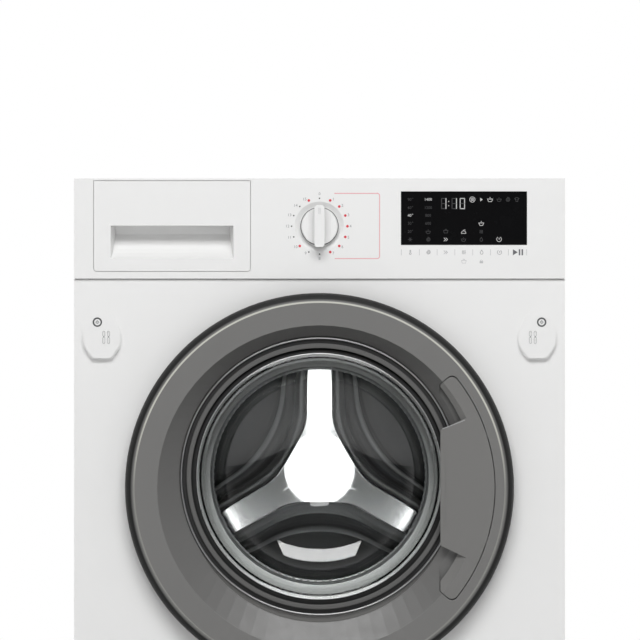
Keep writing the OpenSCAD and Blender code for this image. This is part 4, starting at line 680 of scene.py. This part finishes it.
def digit(text, x, z, w, h, t):
    """Seven-segment digit of width w, height h and stroke t: (lit loops, dim loops)."""
    g = t * 0.18      # gap at a stroke's end
    bars = {
        "a": rect(x - w / 2 + g, z + h / 2 - t, x + w / 2 - g, z + h / 2),
        "g": rect(x - w / 2 + g, z - t / 2, x + w / 2 - g, z + t / 2),
        "d": rect(x - w / 2 + g, z - h / 2, x + w / 2 - g, z - h / 2 + t),
        "b": rect(x + w / 2 - t, z + g, x + w / 2, z + h / 2 - g),
        "f": rect(x - w / 2, z + g, x - w / 2 + t, z + h / 2 - g),
        "c": rect(x + w / 2 - t, z - h / 2 + g, x + w / 2, z - g),
        "e": rect(x - w / 2, z - h / 2 + g, x - w / 2 + t, z - g),
    }
    on = SEGMENTS[text]
    return ([p for k in on for p in bars[k]], [p for k in bars if k not in on for p in bars[k]])


TEMP_COL_PX, SPIN_COL_PX = 410.1, 428.1
ROWS_PX = (199.6, 207.8, 215.6, 223.5, 231.7, 239.5)
CLOCK_ROW_PX = 203.6
CLOCK_DIGITS_PX = ((443.7, "1"), (454.2, "1"), (462.3, "0"))
COLON_PX = 448.6
DIGIT_W, DIGIT_H, DIGIT_T = 6.4, 13.4, 1.0
COLON_UP, COLON_HALF = 2.6, 0.55
TEMPERATURES, SPEEDS = ("90", "60", "40", "30", "20"), ("1400", "1200", "800", "600")
CHOSEN = ("40", "1400")
DISPLAY_H = 3.4       # height of the small numbers
DEGREE = (2.9, 1.5, 0.5, 0.3)         # right of and above the number's middle, radius, width
SYMBOL_LINE = 0.62
lit_loops, dim_loops, lit_words, dim_words = [], [], [], []
for row, text in zip(ROWS_PX, TEMPERATURES):
    x, z = at(TEMP_COL_PX, row)
    (lit_words if text in CHOSEN else dim_words).append((text, x - 0.7, z, DISPLAY_H, "CENTER"))
    degree = ribbon(arc(x + DEGREE[0], z + DEGREE[1], DEGREE[2], 0, 360, 10)[:-1], DEGREE[3], True)
    (lit_loops if text in CHOSEN else dim_loops).extend(degree)
for row, text in zip(ROWS_PX, SPEEDS):
    x, z = at(SPIN_COL_PX, row)
    (lit_words if text in CHOSEN else dim_words).append((text, x, z, DISPLAY_H, "CENTER"))
for col, text in CLOCK_DIGITS_PX:
    x, z = at(col, CLOCK_ROW_PX)
    on, off = digit(text, x, z, DIGIT_W, DIGIT_H, DIGIT_T)
    lit_loops += on
    dim_loops += off
x, z = at(COLON_PX, CLOCK_ROW_PX)
for up in (-COLON_UP, COLON_UP):
    lit_loops += rect(x - COLON_HALF, z + up - COLON_HALF, x + COLON_HALF, z + up + COLON_HALF)
# kind, column, row, half-width, lit
ICONS_PX = (
    ("drum", 472.3, 199.6, 3.4, True), ("play", 481.4, 199.6, 2.1, True), ("tub", 490.0, 199.6, 3.2, True),
    ("tub", 499.0, 199.6, 2.8, False), ("spin", 507.7, 199.6, 3.0, False), ("shirt", 516.8, 199.6, 2.8, False),
    ("snow", 410.1, 239.5, 2.6, False), ("tub", 428.1, 231.7, 2.8, False), ("spin", 428.1, 239.5, 2.9, False),
    ("basket", 445.7, 231.2, 2.8, False), ("quick", 446.0, 239.5, 3.0, True),
    ("iron", 463.5, 231.7, 3.0, True), ("tub", 463.5, 239.5, 2.8, False),
    ("tub", 481.2, 223.5, 3.1, True), ("steam", 481.2, 231.7, 2.6, False), ("drop", 481.2, 239.5, 2.7, False),
    ("clock", 499.0, 239.3, 3.2, True),
)
for kind, col, row, r, on in ICONS_PX:
    x, z = at(col, row)
    (lit_loops if on else dim_loops).extend(icon(kind, x, z, r, SYMBOL_LINE))
marks("display_symbols_lit", lit_loops, FASCIA_Y, "cabinet", lit, 0.05)
marks("display_symbols_dim", dim_loops, FASCIA_Y, "cabinet", dim, 0.04)
finish_mesh(words(lit_words, FASCIA_Y, 0.05), "display_numbers_lit", "cabinet", lit)
finish_mesh(words(dim_words, FASCIA_Y, 0.04), "display_numbers_dim", "cabinet", dim)

# Strip of key marks under the display
STRIP_TOP_PX, STRIP_LOW_PX = 249.3, 255.4
STRIP_COLS_PX = (401.3, 419.3, 437.1, 454.8, 472.7, 490.5, 508.4, 526.6)
RULE_HALF = 0.28
rules = []
for col in STRIP_COLS_PX:
    (x, high), (_, low) = at(col, STRIP_TOP_PX), at(col, STRIP_LOW_PX)
    rules += rect(x - RULE_HALF, low, x + RULE_HALF, high)
marks("key_rules", rules, FASCIA_Y, "cabinet", ink_pale)
KEY_ROW_PX = 252.3
KEYS = ("thermo", "spin", "quick", "steam", "drop", "clock")
KEY_HALF, KEY_LINE, THIN_LINE = 2.9, 0.55, 0.5
key_loops = []
for kind, left, right in zip(KEYS, STRIP_COLS_PX, STRIP_COLS_PX[1:]):
    key_loops += icon(kind, *at((left + right) / 2, KEY_ROW_PX), KEY_HALF, KEY_LINE)
marks("key_symbols", key_loops, FASCIA_Y, "cabinet", ink_grey)
PLAY_PX, PAUSE_PX = 515.0, 520.2
PLAY_HALF, PAUSE_HALF, PAUSE_SHIFT = 3.8, 3.7, 0.6
x, z = at(PAUSE_PX, KEY_ROW_PX)
start_loops = icon("play", *at(PLAY_PX, KEY_ROW_PX), PLAY_HALF, THIN_LINE)
start_loops += icon("pause", x + PAUSE_SHIFT, z, PAUSE_HALF, THIN_LINE)
marks("key_start", start_loops, FASCIA_Y, "cabinet", ink_start)
LOW_KEYS_PX = (("basket", 463.8), ("lock", 481.3))
LOW_ROW_PX = 261.2
LOW_HALF = 3.0
low_loops = []
for kind, col in LOW_KEYS_PX:
    low_loops += icon(kind, *at(col, LOW_ROW_PX), LOW_HALF, THIN_LINE)
marks("key_symbols_low", low_loops, FASCIA_Y, "cabinet", ink_pale)

# Pressed back of the drum: a star of three arms in front of three leaves
BACK_R = 231.6
STAR_FRONT_Y = 128.0
STAR_DEEP = 9.9
HUB_FLAT_R = 45.0     # the hub is flat to here, and the arms come forward outside it
ARM_END_R = 146.0     # and stay level outside this
ARM_RISE = 0.04       # their slope between the two
LEAVES = (30, 150, 270)               # directions of the leaves, in degrees
LEAF_MIDDLE_R = 185.0                 # the point where a leaf's outer faces meet
HUB_SEARCH_R = 90.0                   # the open edge in the middle lies inside this
SEAM_MERGE = 2e-5

# Distance from an arm's middle, distance of the web between two arms from the axis, share of the web that is
# round, depth behind the star's front
PRESSING = ((0.0, 20.0, 0.4, 0.0), (8.0, 30.0, 0.4, 0.0), (14.0, 38.5, 0.4, 0.0), (16.4, 42.0, 0.4, 0.0),
            (17.4, 42.8, 0.5, 0.45), (19.5, 44.0, 0.6, 1.9), (21.8, 45.6, 0.75, 2.7), (23.2, 46.5, 0.85, 2.75),
            (24.4, 47.3, 0.9, 2.6), (25.6, 48.4, 0.94, 2.75), (26.6, 49.6, 0.96, 3.2), (29.0, 52.6, 0.96, 4.9),
            (32.5, 56.9, 0.96, 7.3), (36.0, 61.3, 0.96, 9.0), (38.5, 64.5, 0.96, 9.4), (41.5, 68.4, 0.96, 8.8),
            (44.5, 72.2, 0.96, 7.2), (46.6, 74.8, 0.96, 6.3), (48.0, 76.5, 0.96, 6.1), (49.4, 78.2, 0.96, 6.3),
            (52.0, 81.5, 0.96, 7.9), (55.5, 85.8, 0.96, 9.2), (62.0, 94.0, 0.96, 9.7), (78.0, 113.0, 0.96, 9.9),
            (100.0, 140.0, 0.96, 9.9))
BETWEEN = 3           # rows added between two of these
SIXTY = math.radians(60)
ARM_POINTS, RIM_POINTS = 11, 16
FLUTE_DEEP = (0.2, 1.0)     # the star's polish ends, and the flutes' painted darker reflection begins, between these depths
FIELD_REFLECTION_DEEP = (6.6, 7.4)     # and the fields' painted dark reflection begins between these


def press_rows():
    """The rows of PRESSING with eased ones between them."""
    rows = [PRESSING[0]]
    for first, second in zip(PRESSING, PRESSING[1:]):
        for k in range(1, BETWEEN + 2):
            t = k / (BETWEEN + 1)
            row = [p + (q - p) * t for p, q in zip(first, second)]
            row[3] = first[3] + (second[3] - first[3]) * t * t * (3 - 2 * t) if first[3] != second[3] else first[3]
            rows.append(tuple(row))
    return rows


def leaf_curve(half, web, share):
    """Half of a row, from the web's middle outwards: points (u, v) with u along the leaf's middle line."""
    v = (web * math.sin(SIXTY) - half) / math.cos(SIXTY)
    tangent = share * v
    r = tangent / math.tan(SIXTY / 4)
    flat = [(web, (v - tangent) * k / 4) for k in range(4)]
    bend = [(web + r - r * math.cos(SIXTY / 24 * k), v - tangent + r * math.sin(SIXTY / 24 * k)) for k in range(13)]
    start = web * math.cos(SIXTY) + v * math.sin(SIXTY) + tangent
    end = math.sqrt(BACK_R ** 2 - half ** 2)
    arm = []
    for k in range(1, ARM_POINTS + 1):
        t = start + (end - start) * k / ARM_POINTS
        arm.append((t * math.cos(SIXTY) + half * math.sin(SIXTY), t * math.sin(SIXTY) - half * math.cos(SIXTY)))
    return flat + bend + arm


def pressed_back():
    bm = bmesh.new()

    def point(u, v, turn, depth):
        x, z = u * math.cos(turn) - v * math.sin(turn), u * math.sin(turn) + v * math.cos(turn)
        rise = ARM_RISE * (ARM_END_R - min(max(math.hypot(x, z), HUB_FLAT_R), ARM_END_R))
        y = STAR_FRONT_Y + rise + depth * (1 - rise / STAR_DEEP)
        return bm.verts.new((x * MM, y * MM, (AXIS_Z + z) * MM))

    rows = press_rows()
    for leaf in LEAVES:
        turn = math.radians(leaf)
        lines = []
        for half, web, share, depth in rows:
            side = leaf_curve(half, web, share)
            lines.append([point(u, v, turn, depth) for u, v in side[::-1]]
                         + [point(u, -v, turn, depth) for u, v in side[1:]])
        for low_line, high_line in zip(lines, lines[1:]):
            for k in range(len(low_line) - 1):
                bm.faces.new((low_line[k], low_line[k + 1], high_line[k + 1], high_line[k]))
        # the rest of the leaf, out to the rim
        half = rows[-1][0]
        edge = SIXTY - math.asin(half / BACK_R)
        rim = []
        for k in range(1, RIM_POINTS):
            a = edge - 2 * edge * k / RIM_POINTS
            rim.append(point(BACK_R * math.cos(a), BACK_R * math.sin(a), turn, STAR_DEEP))
        middle = point(LEAF_MIDDLE_R, 0, turn, STAR_DEEP)
        loop = lines[-1] + rim[::-1]
        for k in range(len(loop)):
            bm.faces.new((loop[k], loop[(k + 1) % len(loop)], middle))
    bmesh.ops.remove_doubles(bm, verts=bm.verts, dist=SEAM_MERGE)
    # the plateau in the middle
    edges = [e for e in bm.edges if e.is_boundary
             and all(math.hypot(v.co.x, v.co.z - AXIS_Z * MM) < HUB_SEARCH_R * MM for v in e.verts)]
    bmesh.ops.holes_fill(bm, edges=edges, sides=0)
    for f in bm.faces:
        if f.normal.y > 0:
            f.normal_flip()
    return bm


def pressed_steel():
    """Polished star, satin flutes and satin fields between the arms, the flutes painted darker and the fields darker
    still as painted dark reflection.
    """
    n = Net("pressed_steel")
    turn, radius, y = polar(n)
    arm = n.math("MINIMUM", n.math("MAXIMUM", radius, HUB_FLAT_R * MM), ARM_END_R * MM)
    rise = n.math("MULTIPLY", n.math("SUBTRACT", ARM_END_R * MM, arm), ARM_RISE)
    depth = n.math("DIVIDE", n.math("SUBTRACT", n.math("SUBTRACT", y, STAR_FRONT_Y * MM), rise),
                   n.math("SUBTRACT", 1.0, n.math("DIVIDE", rise, STAR_DEEP * MM)))
    fine = n.join(n.math("MULTIPLY", turn, 0.6), n.math("MULTIPLY", radius, 9.0), n.math("MULTIPLY", y, 9.0))
    brushed = n.noise(260, 4, 0.6, vec=fine)
    flute = n.span(depth, FLUTE_DEEP[0] * MM, FLUTE_DEEP[1] * MM)
    low = n.span(depth, FIELD_REFLECTION_DEEP[0] * MM, FIELD_REFLECTION_DEEP[1] * MM)
    # painted dark reflection: one steel, but the flutes are painted darker than the star and the fields darker still
    tone = n.mix(n.noise(10, 3), (0.075, 0.075, 0.076, 1), (0.09, 0.09, 0.091, 1))
    colour = n.mix(flute, (0.5, 0.502, 0.505, 1), (0.3, 0.302, 0.305, 1))
    n.set("Base Color", n.mix(low, colour, tone))
    n.set("Roughness", n.math("ADD", n.span(brushed, 0.2, 0.8, 0.09, 0.11), n.math("MULTIPLY", flute, 0.31)))
    n.set("Metallic", 1.0)
    n.set("Normal", n.bump(brushed, 0.02, 0.05 * MM))
    return n.mat


back = finish_mesh(pressed_back(), "drum_back_pressed", "drum", pressed_steel(), smooth=True)
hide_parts("drum_back")

# Fine lines on the knob, the handle and the hinge covers: the knob's pointer, painted shadow in the knob's gap and
# round the screw heads, painted shade in the screw crosses and slot outlines, and a painted highlight along the
# handle's top edge
DISC_Y, GRIP_Y = -245.5, -260.5
KNOB_RING_R, KNOB_RING_W = 22.9, 0.9
POINTER_X, POINTER_W, POINTER_UP = (-1.0, 0.6), 0.4, (14.5, 22.0)
# painted shadow: a dark ring in the gap round the knob's disc
marks("knob_gap_shadow", ribbon(arc(0, KNOB_Z, KNOB_RING_R, 0, 360, 72)[:-1], KNOB_RING_W, True), DISC_Y, "knob", ink_shadow)
pointer = [loop for x in POINTER_X for loop in rect(x, KNOB_Z + POINTER_UP[0], x + POINTER_W, KNOB_Z + POINTER_UP[1])]
marks("knob_pointer", pointer, GRIP_Y, "knob", ink_pale, 0.05)
# painted highlight: a pale line along the handle's top edge
HANDLE_EDGE = ((149.2, 515.6), (176.6, 526.2))
marks("handle_edge_highlight", ribbon(HANDLE_EDGE, 0.8), FACE_Y, "handle", shade_and_highlight_line, 0.05)

COVER_X, COVER_HIGH, COVER_LOW, COVER_T = 265.0, 628.0, 190.0, 6.0
SCREW_OUT, SCREW_UP, SCREW_R, HEAD_R, HEAD_DEEP = 5.4, 17.0, 5.7, 3.9, 1.15
CROSS_HALF, CROSS_W = 1.9, 0.9
SLOTS_OUT = (-2.4, -8.2)              # columns of the two keyhole slots, outwards from the cover's middle
SLOT_SPANS = ((2.9, 3.1), (-5.2, 3.8))          # the two loops of a slot: middle's height, half-length
SLOT_R, SLOT_W = 1.5, 0.5
PIN_UP, PIN_R = -0.7, 0.8
cover_y = FRONT_Y - COVER_T
wells, crosses, keyholes = [], [], []
for side in (-1, 1):
    for z in (COVER_HIGH, COVER_LOW):
        sx, sz = side * (COVER_X + SCREW_OUT), z + SCREW_UP
        wells += ribbon(arc(sx, sz, (SCREW_R + HEAD_R) / 2, 0, 360, 40)[:-1], SCREW_R - HEAD_R, True)
        crosses += ribbon([(sx - CROSS_HALF, sz), (sx, sz + CROSS_HALF), (sx + CROSS_HALF, sz), (sx, sz - CROSS_HALF)],
                          CROSS_W, True)
        for out in SLOTS_OUT:
            x = side * (COVER_X + out)
            for mid, half in SLOT_SPANS:
                reach = half - SLOT_R
                loop = arc(x, z + mid + reach, SLOT_R, 0, 180, 8) + arc(x, z + mid - reach, SLOT_R, 180, 360, 8)
                keyholes += ribbon(loop, SLOT_W, True)
            keyholes += disc(x, z + PIN_UP, PIN_R, 12)
# painted shadow: a dark ring in the well round each screw head
marks("cover_well_shadows", wells, cover_y + HEAD_DEEP, "cabinet", ink_shadow, 0.05)
# painted shade: grey in the screw heads' crosses and along the outlines of the keyhole slots
marks("cover_cross_shade", crosses, cover_y + HEAD_DEEP, "cabinet", shade_and_highlight_line, 0.05)
marks("cover_slot_shade", keyholes, cover_y, "cabinet", shade_and_highlight_line, 0.03)

# Turned pieces of the door, all about the porthole's axis
GLASS_R = 149.0
DOOR_BACK_Y = -242.5
GLASS_WALL = 2.4
BOWL_R = GLASS_R - 3  # at the bowl's rim
BOWL_DEEP = 82.0
BOWL_POWER = 0.62     # 1 would be a round cup, and less makes it squarer
BOWL_DRAFT = 0.1      # share of the radius lost down to the bottom
BOWL_STEPS = 48
TURN_STEPS = 192      # sides of a turned piece
CREASE = 40           # edges bent more than this, in degrees, stay sharp


def lathe(name, profile, body, mat):
    """A closed outline of (radius, y) in mm, turned about the drum's axis."""
    bm = bmesh.new()
    rings = []
    for r, y in profile:
        if r < 0.01:
            rings.append([bm.verts.new((0, y * MM, AXIS_Z * MM))] * TURN_STEPS)
        else:
            rings.append([bm.verts.new((r * MM * math.cos(math.tau * k / TURN_STEPS), y * MM,
                                        AXIS_Z * MM + r * MM * math.sin(math.tau * k / TURN_STEPS)))
                          for k in range(TURN_STEPS)])
    for first, second in zip(rings, rings[1:] + rings[:1]):
        for k in range(TURN_STEPS):
            corners = []
            for v in (first[k], first[(k + 1) % TURN_STEPS], second[(k + 1) % TURN_STEPS], second[k]):
                if v not in corners:
                    corners.append(v)
            if len(corners) > 2:
                bm.faces.new(corners)
    obj = finish_mesh(bm, name, body, mat, smooth=True)
    obj.data.set_sharp_from_angle(angle=math.radians(CREASE))
    return obj


def bowl_wall(inset):
    """Points of a wall of the glass cup from its rim to its middle, inset square to its outer face."""
    outer = []
    for k in range(BOWL_STEPS + 1):
        a = math.pi / 4 * (1 - math.cos(math.pi * k / BOWL_STEPS))
        deep = math.sin(a) ** BOWL_POWER
        outer.append((BOWL_R * max(0.0, math.cos(a)) ** BOWL_POWER * (1 - BOWL_DRAFT * deep),
                      DOOR_BACK_Y + BOWL_DEEP * deep))
    outer[-1] = (0.0, outer[-1][1])
    out = []
    for k, (r, y) in enumerate(outer):
        (r0, y0), (r1, y1) = outer[max(0, k - 1)], outer[min(BOWL_STEPS, k + 1)]
        if k == 0:
            way = (0.0, 1.0)
        elif k == BOWL_STEPS:
            way = (-1.0, 0.0)
        else:
            far = math.hypot(r1 - r0, y1 - y0)
            way = ((r1 - r0) / far, (y1 - y0) / far)
        out.append((max(0.0, r - way[1] * inset), y + way[0] * inset))
    return out


def around(r, y, radius, start, end, steps=8):
    """Points on a small round of a turned outline, angles in degrees from outwards towards the back."""
    return [(r + radius * math.cos(math.radians(start + (end - start) * k / steps)),
             y + radius * math.sin(math.radians(start + (end - start) * k / steps))) for k in range(steps + 1)]


# Glass bowl: inner wall, round into its flat flange, and outer wall
glass = lathe("door_glass_smooth", bowl_wall(GLASS_WALL)[::-1]
              + around(BOWL_R - GLASS_WALL + 1.6, -247.4, 1.6, 180, 270, 8)
              + [(162, -249), (162, -246.4), (147, -246.4)]
              + around(147.2, -245.2, 1.2, 270, 180, 4) + bowl_wall(0), "door", mats["bowl_glass"])
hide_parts("door_glass")


STEP_R = (156.0, 161.9)     # the bezel's grey step lies between these


def bezel_plastic():
    """Dark plastic with a satin dark grey step, painted near-black outside the step as painted shade in the grooves
    beside it.
    """
    n = Net("bezel_plastic")
    radius = polar(n)[1]
    step = n.math("MULTIPLY", n.math("GREATER_THAN", radius, STEP_R[0] * MM),
                  n.math("LESS_THAN", radius, STEP_R[1] * MM))
    # painted shade: near-black outside the step stands for the shadow in the grooves beside it
    n.set("Base Color", n.mix(step, (0.022, 0.022, 0.022, 1), (0.105, 0.104, 0.102, 1)))
    n.set("Roughness", n.span(n.noise(50, 4, 0.6), 0.25, 0.75, 0.55, 0.65))
    n.set("Specular IOR Level", 0.3)
    n.set("Normal", n.bump(n.noise(1900, 2), 0.12, 0.05 * MM))
    return n.mat


# Dark stepped bezel
bezel = lathe("door_bezel_turned",
              [(149.9, -247.2), (149.9, -250.4), (150.4, -250.6), (155.2, -248.6), (155.9, -248.9)]
              + around(157.1, -253.9, 1.1, 180, 270, 5) + around(160.6, -253.9, 1.1, 270, 360, 5)
              + [(161.9, -250.6), (163.0, -250.2), (165.9, -250.6), (166.3, -251.2), (166.8, -251.2), (166.8, -250.2),
                 (169.8, -250.2), (169.8, -249.2), (163, -249.2), (163, -249.0), (152, -249.0), (152, -247.2)],
              "door", bezel_plastic())
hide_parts("door_bezel")

# Bright trim ring, and a finer bright bead between the bezel and the glass, put there as a painted highlight for the
# glass's edge
trim = lathe("door_trim_turned", [(166.9, -250.6), (167.0, -252.2)] + around(168.1, -252.7, 1.05, 180, 360, 10)
             + [(169.5, -252.2), (169.5, -250.6)], "door", mats["bright_trim"])
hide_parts("door_trim")
lathe("bezel_highlight_bead", [(148.8, -249.2)] + around(149.3, -250.9, 0.6, 180, 360, 8) + [(149.8, -249.2)], "door",
      mats["highlight_bead"])

# Gasket: front bead, folds, and the soft lip that lies along the glass
gasket = lathe("door_gasket_soft",
               [(164, -241.5), (172, -241.5), (172, -238), (177.5, -238), (177.5, -233.5), (169.5, -233.5),
                (169.5, -184)] + around(170.2, -178, 4.0, 270, 450, 8)[1:-1]
               + [(169.5, -171), (169.5, -158.5), (172, -158), (172, -163), (165.5, -163.5), (165.5, -171)]
               + around(165.0, -178, 3.6, 80, -80, 8) + [(165.5, -186), (165.5, -226), (158, -224), (150.5, -216),
                (144, -206.5)] + around(136.6, -201.5, 1.3, 60, 250, 8)
               + [(140.6, -211), (144.2, -220), (147.2, -230), (151, -233.5), (158, -236.5), (164, -237)],
               "cabinet", mats["lip_rubber"])
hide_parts("door_gasket")

# Rolled edge of the drum's mouth, with beads
ROLL_R, ROLL_Y, ROLL_WIRE_R = 134.2, -156.0, 2.4
BEAD_R, BEAD_Y = 132.3, -158.4
BEAD_HALF = (1.0, 1.5, 2.0)           # outwards, along the axis, along the mouth's edge
BEADS = 90
lathe("drum_mouth_roll", around(ROLL_R, ROLL_Y, ROLL_WIRE_R, 0, 360, 20)[:-1], "drum", mats["drum_steel"])
bm = bmesh.new()
for k in range(BEADS):
    a = math.tau * k / BEADS
    made = bmesh.ops.create_uvsphere(bm, u_segments=10, v_segments=6, radius=MM)
    for v in made["verts"]:
        out, y, on = (c * half for c, half in zip(v.co, BEAD_HALF))
        v.co = ((BEAD_R * MM + out) * math.cos(a) - on * math.sin(a), BEAD_Y * MM + y,
                AXIS_Z * MM + (BEAD_R * MM + out) * math.sin(a) + on * math.cos(a))
finish_mesh(bm, "drum_mouth_beads", "drum", mats["spring_steel"], smooth=True)

# Springs and hoses between cabinet and tub, each copied into an object of its own: node, height of its end at the
# cabinet and at the tub
FLEXING = (("suspension_springs", 766.0, 617.0), ("fill_hose", 708.0, 682.0), ("sump_hose", 110.0, 260.0))
for name, cabinet_z, tub_z in FLEXING:
    mesh = nodes[name].data.copy()
    mesh.transform(nodes[name].matrix_world)
    obj = bpy.data.objects.new(name + "_flexing", mesh)
    bpy.context.scene.collection.objects.link(obj)
    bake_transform(obj)
    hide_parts(name)

# Stage, lamps, world
FLOOR_R = 4.2         # in m; ends below the main view, and fills the other views
FLOOR_TURNS = [math.tau * k / 96 for k in range(96)]
floor_mesh = bpy.data.meshes.new("floor")
floor_mesh.from_pydata([(FLOOR_R * math.cos(a), FLOOR_R * math.sin(a), 0) for a in FLOOR_TURNS], [],
                       [tuple(range(len(FLOOR_TURNS)))])
floor = bpy.data.objects.new("floor", floor_mesh)
bpy.context.scene.collection.objects.link(floor)
pale = Net("floor_pale")
pale.set("Base Color", pale.mix(pale.noise(3, 4), grey(0.80), grey(0.84)))
pale.set("Roughness", 0.7)
pale.set("Specular IOR Level", 0.2)
floor_mesh.materials.append(pale.mat)
floor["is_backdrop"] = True


def lamp(name, place, aim, size, power):
    """A rectangular lamp: place, aim and size in m, power in W."""
    data = bpy.data.lights.new(name, "AREA")
    data.shape = "RECTANGLE"
    data.size, data.size_y = size
    data.energy = power
    obj = bpy.data.objects.new(name, data)
    obj.location = place
    obj.rotation_euler = (Vector(aim) - Vector(place)).to_track_quat("-Z", "Y").to_euler()
    bpy.context.scene.collection.objects.link(obj)


lamp("lamp_top", (0.0, -3.0, 3.2), (0, -0.25, 0.45), (3.0, 1.4), 110)
lamp("lamp_front", (0.0, -6.0, 0.27), (0, 0, 0.27), (0.24, 0.96), 3.6)
lamp("lamp_rear", (0.6, 3.4, 2.2), (0, 0, 0.4), (2.4, 1.8), 44)

world = bpy.data.worlds.new("studio")
bpy.context.scene.world = world
world.use_nodes = True
tree = world.node_tree
tree.nodes.clear()


def world_node(kind, **values):
    n = tree.nodes.new(kind)
    for k, v in values.items():
        setattr(n, k, v)
    return n


# The camera sees a white background. So do metal and glass behind and beside them, and a dimmer room in front.
FILL, ROOM = 0.33, 0.12
glow, path = world_node("ShaderNodeBackground"), world_node("ShaderNodeLightPath")
mirror = world_node("ShaderNodeMath", operation="ADD", use_clamp=True)
tree.links.new(path.outputs["Is Glossy Ray"], mirror.inputs[0])
tree.links.new(path.outputs["Is Transmission Ray"], mirror.inputs[1])
way, split, side = (world_node("ShaderNodeTexCoord"), world_node("ShaderNodeSeparateXYZ"),
                    world_node("ShaderNodeMapRange"))
tree.links.new(way.outputs["Generated"], split.inputs[0])
tree.links.new(split.outputs[1], side.inputs[0])
for socket, value in zip(side.inputs[1:5], (-0.6, 0.0, ROOM, 1.0)):
    socket.default_value = value
mixed = world_node("ShaderNodeMix", data_type="FLOAT")
tree.links.new(mirror.outputs[0], mixed.inputs[0])
mixed.inputs[2].default_value = FILL
tree.links.new(side.outputs[0], mixed.inputs[3])
strength = world_node("ShaderNodeMath", operation="MAXIMUM")
tree.links.new(path.outputs["Is Camera Ray"], strength.inputs[0])
tree.links.new(mixed.outputs[0], strength.inputs[1])
glow.inputs[0].default_value = (1, 1, 1, 1)
tree.links.new(strength.outputs[0], glow.inputs[1])
tree.links.new(glow.outputs[0], world_node("ShaderNodeOutputWorld").inputs[0])

# Sizes
low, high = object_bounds()
